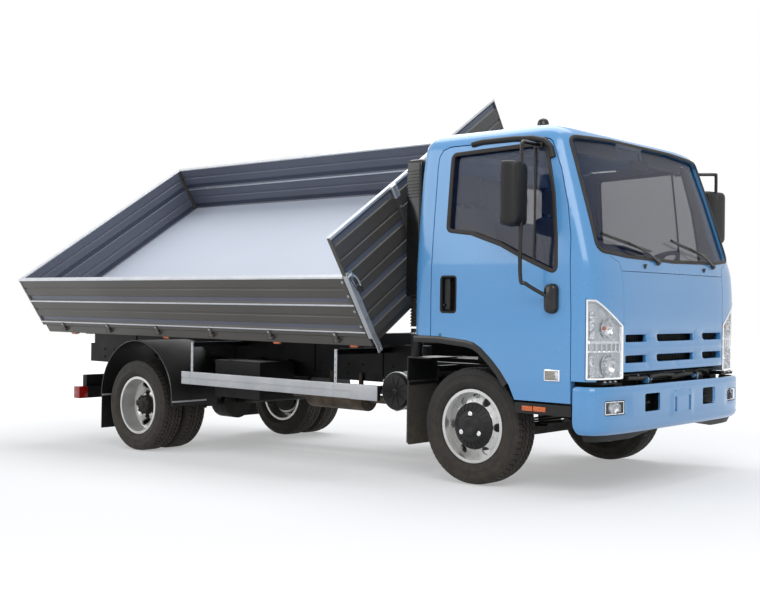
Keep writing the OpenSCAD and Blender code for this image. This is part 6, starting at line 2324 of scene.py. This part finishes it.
def blow(piece, most=24):
    """Fills a pad by simulation, with how far each point may move held to a limit."""
    mesh = piece.data
    working = bpy.data.objects.new("pad", mesh.copy())
    bpy.context.scene.collection.objects.link(working)
    voxels = working.modifiers.new("voxels", "REMESH")
    voxels.mode = "VOXEL"
    voxels.voxel_size = 0.014
    depsgraph = bpy.context.evaluated_depsgraph_get()
    solid = bpy.data.meshes.new_from_object(working.evaluated_get(depsgraph))
    working.modifiers.clear()
    working.data = solid
    before = [v.co.copy() for v in solid.vertices]
    cloth = working.modifiers.new("cloth", "CLOTH")
    cloth.settings.use_pressure = True
    cloth.settings.uniform_pressure_force = 4
    cloth.settings.effector_weights.gravity = 0
    cloth.point_cache.frame_end = 20
    for step in range(1, 21):
        bpy.context.scene.frame_set(step)
    depsgraph = bpy.context.evaluated_depsgraph_get()
    blown = bpy.data.meshes.new_from_object(working.evaluated_get(depsgraph))
    for vertex, start in zip(blown.vertices, before):
        move = vertex.co - start
        if move.length > most * MM:
            vertex.co = start + move * (most * MM / move.length)
    blown.materials.clear()
    for material in mesh.materials:
        blown.materials.append(material)
    blown.shade_smooth()
    bpy.context.scene.frame_set(1)
    bpy.data.objects.remove(working)
    piece.data = blown


class TRUCK_OT_seats(bpy.types.Operator):
    """The driver's, passenger's and middle seats: stuffed cushions and backs, headrests on their posts, and
    seat bases
    """
    bl_idname = "truck.seats"
    bl_label = "Seats"

    def execute(self, context):
        first = True
        z = 975
        for i, (a, b, rise, back) in enumerate(((290, 800, 250, 620), (-800, -270, 250, 620),
                                                (-262, 282, 230, 560))):
            seat = [(-250, a), (330, a), (330, b), (-250, b)]
            pad = cushion("seat_cushion_%d" % i, seat, z + 90, z + rise, Matrix(), 0.8)
            if first:
                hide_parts("seats")
                first = False
            blow(pad)
            turn = Matrix.Translation((-262, (a + b) / 2, z + 235)) @ Matrix.Rotation(math.radians(-12), 4,
                                                                                      "Y")
            half = (b - a) / 2 - 6
            upright = turn @ axes_matrix(Vector((0, 1, 0)), Vector((0, 0, 1)), Vector((1, 0, 0)), (0, 0, 0))
            pad = cushion("seat_back_%d" % i, [(-half, 0), (half, 0), (half - 20, back), (-half + 20,
                                                                                          back)], 4, 104,
                          upright, 0.8)
            blow(pad)
            if i < 2:
                rest = Matrix.Translation((-378, (a + b) / 2, z + 850))
                upright = rest @ axes_matrix(Vector((0, 1, 0)), Vector((0, 0, 1)), Vector((1, 0, 0)),
                                             (0, 0, 0))
                pad = cushion("headrest_%d" % i, [(-125, 15), (125, 15), (110, 212), (-110, 212)], 4, 84,
                              upright, 0.8)
                blow(pad)
        bm = bmesh.new()
        for a, b in ((296, 794), (-794, -276), (-256, 276)):
            quick_box(bm, (-245, a, z), (318, b, z + 96), edge=14)
        for a, b in ((290, 800), (-800, -270)):
            for s in (-60, 60):
                y = (a + b) / 2 + s
                rod(bm, (-362, y, z + 790), (-338, y, z + 880), 6, 12, 1)
        put(mend(bm), "seat_bases", "cab", TRUCK, looks("dark_trim", "chrome"), smooth=40)
        return {"FINISHED"}


class TRUCK_OT_intake(bpy.types.Operator):
    """The air duct behind the cab, its ribbed hose, and the cleaner's cap and clamps"""
    bl_idname = "truck.intake"
    bl_label = "Air intake"

    def execute(self, context):
        bm = bmesh.new()
        out = 835
        plan = rounded([(-616, -out - 34), (-484, -out - 34), (-484, -out + 34), (-616, -out + 34)],
                       [22] * 4, 5)
        levels = [(1204, -14), (1212, -3), (1225, 0), (1330, 0), (1336, 1.6), (1344, 1.6), (1350, 0),
                  (1960, 0),
                  (2090, 0), (2112, -3), (2126, -9), (2134, -20)]
        loft(bm, [[Vector((x, y, z)) for x, y in grown_outline(plan, grow)] for z, grow in levels])
        for z in (1400, 1950):
            quick_box(bm, (-492, -out - 14, z - 19), (-441, -out + 14, z + 19), edge=3)
        for k in range(9):
            z = 1880 + k * 22
            quick_box(bm, (-610, -out - 35.5, z - 5), (-490, -out - 33, z + 5), edge=1)
        put(mend(bm), "air_duct", "cab", TRUCK, looks("gloss"), ("air_intake",), 40)
        bm = bmesh.new()
        rings = []
        for k in range(97):
            z = 1000 + 210 * k / 96
            r = 45 + 4.5 * math.cos(2 * math.pi * (z - 1000) / 21)
            rings.append(circle((-570, -790, z), (0, 0, 1), r, 40))
        loft(bm, rings)
        put(mend(bm), "ribbed_hose", "cab", TRUCK, looks("seal"), smooth=60)
        bm = bmesh.new()
        x, z = -680, 555
        # the cleaner's bands and its pressed cap
        for y in (-858, -610, -740):
            profile = [(129.5, y - 11), (132.5, y - 10), (133.5, y), (132.5, y + 10), (129.5, y + 11)]
            part = bmesh.new()
            lathe(part, profile, 72)
            made_at = Matrix.Translation((x, 0, z))
            bmesh.ops.transform(part, matrix=made_at, verts=part.verts)
            made = [bm.verts.new(v.co) for v in part.verts]
            for face in part.faces:
                bm.faces.new([made[v.index] for v in face.verts]).material_index = 1
            part.free()
        for k in range(10):
            t = 2 * math.pi * k / 10
            a, b = Vector((math.cos(t), 0, math.sin(t))), Vector((-math.sin(t), 0, math.cos(t)))
            section = [(-5, 0), (-3, 5), (3, 5), (5, 0)]
            loft(bm, [[Vector((x, -884, z)) + a * r + b * w + Vector((0, -h * (1 if r < 100 else 0.3), 0))
                       for w, h in section] for r in (22, 60, 98, 110)], 0)
        part = bmesh.new()
        lathe(part, [(0.5, -893), (16, -893), (20, -890), (22, -884), (30, -883)], 40)
        bmesh.ops.transform(part, matrix=Matrix.Translation((x, 0, z)), verts=part.verts)
        made = [bm.verts.new(v.co) for v in part.verts]
        for face in part.faces:
            bm.faces.new([made[v.index] for v in face.verts]).material_index = 0
        part.free()
        for k in range(3):
            t = math.pi / 6 + 2 * math.pi * k / 3
            c = Vector((x + 131 * math.cos(t), -862, z + 131 * math.sin(t)))
            quick_box(bm, (-9, -16, -3), (9, 22, 5),
                      Matrix.Translation(c) @ Matrix.Rotation(math.pi / 2 - t, 4, "Y"),
                      2, 1)
        put(mend(bm), "cleaner_trim", "chassis", TRUCK, looks("plastic", "zinc"), smooth=40)
        bm = bmesh.new()
        rings = [circle((-570, -790, zz), (0, 0, 1), r, 40) for zz, r in
                 ((948, 42.2), (949, 46), (962, 46), (963, 42.2))]
        loft(bm, rings)
        quick_box(bm, (-586, -842, 949), (-554, -830, 962), edge=2)
        put(mend(bm), "hose_clamp", "chassis", TRUCK, looks("zinc"), smooth=40)
        return {"FINISHED"}


class TRUCK_OT_side_guards(bpy.types.Operator):
    """The underride guards along both sides: ribbed rails, perforated struts and their arms"""
    bl_idname = "truck.side_guards"
    bl_label = "Side guards"

    def guard(self, side, first):
        bm = bmesh.new()
        profile = rounded([(1005, 495), (1029, 495), (1030, 501), (1030, 539), (1027.5, 541), (1027.5, 547),
                           (1030, 549),
                           (1030, 589), (1029, 595), (1005, 595)], [2, 4, 2, 1, 1, 1, 1, 2, 4, 2], 2)
        extruded(bm, [(side * y, z) for y, z in profile], "X", -2798, -872, 0)
        sleeve = rounded([(1003, 493), (1032, 493), (1032, 597), (1003, 597)], 3, 2)
        extruded(bm, [(side * y, z) for y, z in sleeve], "X", -960, -714, 0)
        for x in (-2799, -713):
            quick_box(bm, (x - 4, side * 1003, 493), (x + 4, side * 1031, 597), edge=3, mat=1)
        name = "right" if side < 0 else "left"
        put(mend(bm), "guard_rail_" + name, "chassis", TRUCK, looks("guard", "plastic"),
            ("side_guards",) if first else (), 30)
        bm = bmesh.new()
        for x in (-2700, -1130):
            holes = [oval((x, z), (5, 5), 14) for z in range(626, 800, 44)]
            plate = [(x - 13, 500), (x + 13, 500), (x + 13, 828), (x - 13, 828)]
            place = axes_matrix(Vector((1, 0, 0)), Vector((0, 0, 1)), Vector((0, side, 0)),
                                (0, side * 999, 0))
            if side < 0:
                plate = list(reversed(plate))
                holes = [list(reversed(h)) for h in holes]
            slab(bm, plate, place, 5, holes)
        put(mend(bm), "guard_struts_" + name, "chassis", TRUCK, looks("zinc"), smooth=30)
        bm = bmesh.new()
        for x in (-2700, -1130):
            section = [(-18, 790), (18, 790), (18, 795), (-12, 795), (-12, 825), (18, 825), (18, 830),
                       (-18, 830)]
            loft(bm, [[Vector((x + dx, side * y, z)) for dx, z in section] for y in (427, 1001)])
        put(mend(bm), "guard_arms_" + name, "chassis", TRUCK, looks("chassis"), smooth=30)
        spots = [((x, side * 1030, z), (0, side, 0)) for x in (-2700, -1130) for z in (522, 568)]
        spots += [((x, side * 1004.5, 812), (0, side, 0)) for x in (-2700, -1130)]
        bolts("guard_bolts_" + name, "chassis", TRUCK, spots, 8, 5, look("zinc"))

    def execute(self, context):
        self.guard(-1, True)
        self.guard(1, False)
        return {"FINISHED"}


class TRUCK_OT_frame_details(bpy.types.Operator):
    """Guard lips, arch flares, step lamps, rear lamps, U-bolts and frame bolts"""
    bl_idname = "truck.frame_details"
    bl_label = "Frame details"

    def guards(self):
        """Rolled lips on the rear guards' edges and flap rails."""
        bm = bmesh.new()
        centre = Vector((REAR_AXLE_X, 0, REAR_HUB + 60))
        for side in (-1, 1):
            for y, way in ((1054 * side, side),):
                section = [(0, -2), (0, 6), (3, 8), (6, 6), (6, -2)]
                rings = []
                for k in range(61):
                    t = math.radians(-2 + 184 * k / 60)
                    d = Vector((math.cos(t), 0, math.sin(t)))
                    rings.append([centre + d * (480 + h - 6) + Vector((0, y + way * (w - 5), 0)) for w,
                                  h in section])
                loft(bm, rings)
            for x in (REAR_AXLE_X - 480, REAR_AXLE_X + 474):
                quick_box(bm, (x - 4, side * 700, REAR_HUB + 52), (x + 12, side * 1050, REAR_HUB + 66),
                          edge=2, mat=1)
        # rubber flaps hung in front of the front guards' plates, with their clamping bars
        flaps = bmesh.new()
        for side in (-1, 1):
            plan = rounded([(640, 212), (952, 212), (952, 640), (640, 640)], [24, 24, 4, 4], 4)
            place = axes_matrix(Vector((0, 1, 0)), Vector((0, 0, 1)), Vector((1, 0, 0)), (-511.5, 0, 0))
            outline = [(side * y, z) for y, z in plan]
            slab(flaps, outline if side > 0 else outline[::-1], place, 5, mats=(0, 0, 0))
            quick_box(flaps, (-507, side * 648, 610), (-501, side * 944, 632), edge=2, mat=1)
        put(mend(flaps), "front_flaps", "chassis", TRUCK, looks("flap", "chassis"),
            smooth=40)
        put(mend(bm), "guard_lips", "chassis", TRUCK, looks("gloss", "guard"), smooth=50)

    def arches(self):
        """The black flare round the cab's wheel arch."""
        bm = bmesh.new()
        line = [(-430, 941), (-225, 941), (0, 921), (60, 908), (118, 876), (200, 806), (262, 742)]
        run = open_run(line + [(318, 668)], 24)
        for side in (-1, 1):
            section = [(0, -2), (0, 9), (5, 12), (9, 8), (9, -30), (5, -34), (1, -30)]
            rings = []
            for i, (x, z) in enumerate(run):
                a, b = run[max(i - 1, 0)], run[min(i + 1, len(run) - 1)]
                d = Vector((b[0] - a[0], 0, b[1] - a[1])).normalized()
                up = Vector((-d.z, 0, d.x))
                if up.z < 0:
                    up = -up
                y = side_y(x, max(z, 700)) - 4
                rings.append([Vector((x, side * (y + w), z)) + up * (h - 4) for w, h in section])
            loft(bm, rings)
        return bm

    def lamps(self):
        """Rear lamps on the underrun bar's brackets, and the red ends of the bar."""
        bm = bmesh.new()
        for side in (-1, 1):
            for k, (a, b) in enumerate(((604, 690), (694, 780), (784, 896))):
                quick_box(bm, (-4357, side * a, 392), (-4344, side * b, 478), edge=6, mat=1 + k % 2)
            quick_box(bm, (-4350, side * 600, 386), (-4341, side * 900, 484), edge=5, mat=0)
            quick_box(bm, (-4334, side * 912, 281), (-4247, side * 1003, 386), edge=5, mat=1)
        put(mend(bm), "rear_lamps", "chassis", TRUCK, looks("plastic", "red", "orange"),
            smooth=40)

    def springs(self):
        """U-bolts over the axles, with their plates."""
        bm = bmesh.new()
        for x, z in ((0, 351), (REAR_AXLE_X, REAR_HUB)):
            for side in (-1, 1):
                for dx in (-52, 52):
                    for dy in (-42, 42):
                        y = side * 385 + dy
                        rod(bm, (x + dx, y, z - 60), (x + dx, y, z + 120), 9, 12, 0)
                quick_box(bm, (x - 70, side * 385 - 52, z + 112), (x + 70, side * 385 + 52, z + 124), edge=3)
        put(mend(bm), "u_bolts", "chassis", TRUCK, looks("iron"), smooth=40)

    def execute(self, context):
        self.guards()
        self.lamps()
        self.springs()
        put(mend(self.arches()), "arch_flares", "cab", TRUCK, looks("gloss"), smooth=50)
        spots = []
        for side in (-1, 1):
            for x in range(-4700, 700, 150):
                for z in (620, 690):
                    if abs(x - REAR_AXLE_X) > 100:
                        spots.append(((x, side * 425, z), (0, side, 0)))
        bolts("frame_bolts", "chassis", TRUCK, spots, 10, 8, look("chassis"))
        bm = bmesh.new()
        for side in (-1, 1):
            quick_box(bm, (430, side * 989, 512), (505, side * 995, 542), edge=2, mat=0)
            quick_box(bm, (511, side * 989, 512), (600, side * 995, 542), edge=2, mat=0)
            for k in range(6):
                x = 420 + k * 60
                quick_box(bm, (x - 16, side * 768, 514), (x + 16, side * 936, 518.5), edge=1.5, mat=1)
        put(mend(bm), "step_trim", "chassis", TRUCK, looks("orange", "zinc"), smooth=40)
        return {"FINISHED"}


class TRUCK_OT_cab_inside(bpy.types.Operator):
    """What shows through the windscreen: the inside mirror and the sun visors"""
    bl_idname = "truck.cab_inside"
    bl_label = "Inside the cab"

    def execute(self, context):
        bm = bmesh.new()
        rod(bm, (640, 30, 2170), (668, 10, 2110), 6, 12, 0)
        place = Matrix.Translation((668, 0, 2085)) @ Matrix.Rotation(math.radians(8), 4, "Y")
        loft(bm, [[place @ Vector((dx, y * s, z * s)) for y, z in rounded(
            [(-115, -32), (115, -32), (115, 32), (-115, 32)], [16] * 4, 5)]
                  for dx, s in ((-8, 0.96), (-5, 1.0), (8, 1.0), (14, 0.85), (16, 0.6))], 0)
        put(mend(bm), "inside_mirror", "cab", TRUCK, looks("dark_trim"), smooth=50)
        bm = bmesh.new()
        for a, b in ((180, 700), (-700, -180)):
            turn = Matrix.Translation((596, (a + b) / 2, 2176)) @ Matrix.Rotation(math.radians(74), 4, "Y")
            plan = rounded([(-75, -(b - a) / 2), (75, -(b - a) / 2), (75, (b - a) / 2), (-75, (b - a) / 2)],
                           [24] * 4, 5)
            loft(bm, [[turn @ Vector((x * s, y * s, h)) for x, y in plan]
                      for h, s in ((-9, 0.95), (-5, 1.0), (5, 1.0), (9, 0.95))])
        put(mend(bm), "sun_visors", "cab", TRUCK, looks("trim"), smooth=50)
        return {"FINISHED"}


# ---- the add-on ----
OPERATORS = (TRUCK_OT_stage, TRUCK_OT_finishes, TRUCK_OT_cab_skin, TRUCK_OT_doors, TRUCK_OT_drop_sides,
             TRUCK_OT_front_board, TRUCK_OT_front_panel, TRUCK_OT_headlamps, TRUCK_OT_bumper,
             TRUCK_OT_tyres, TRUCK_OT_wheels, TRUCK_OT_mirrors, TRUCK_OT_seats, TRUCK_OT_intake,
             TRUCK_OT_side_guards, TRUCK_OT_frame_details, TRUCK_OT_cab_inside)
SETTINGS = (TruckSizes, TruckLook)


class TRUCK_PT_panel(bpy.types.Panel):
    """Lists the truck's pieces and settings"""
    bl_idname = "TRUCK_PT_panel"
    bl_label = "Drop-side dump truck"
    bl_space_type = "VIEW_3D"
    bl_region_type = "UI"
    bl_category = "Truck"

    def draw(self, context):
        for group in (context.scene.truck_sizes, context.scene.truck_look):
            box = self.layout.box()
            for key in group.bl_rna.properties.keys():
                if key not in ("rna_type", "name"):
                    box.prop(group, key)
        for operator in OPERATORS:
            self.layout.operator(operator.bl_idname)


def register():
    for cls in SETTINGS + OPERATORS + (TRUCK_PT_panel,):
        bpy.utils.register_class(cls)
    bpy.types.Scene.truck_sizes = PointerProperty(type=TruckSizes)
    bpy.types.Scene.truck_look = PointerProperty(type=TruckLook)


def unregister():
    del bpy.types.Scene.truck_sizes
    del bpy.types.Scene.truck_look
    for cls in reversed(SETTINGS + OPERATORS + (TRUCK_PT_panel,)):
        bpy.utils.unregister_class(cls)


def main():
    register()
    for operator in OPERATORS:
        group, name = operator.bl_idname.split(".")
        getattr(getattr(bpy.ops, group), name)()


if __name__ == "__main__":
    main()
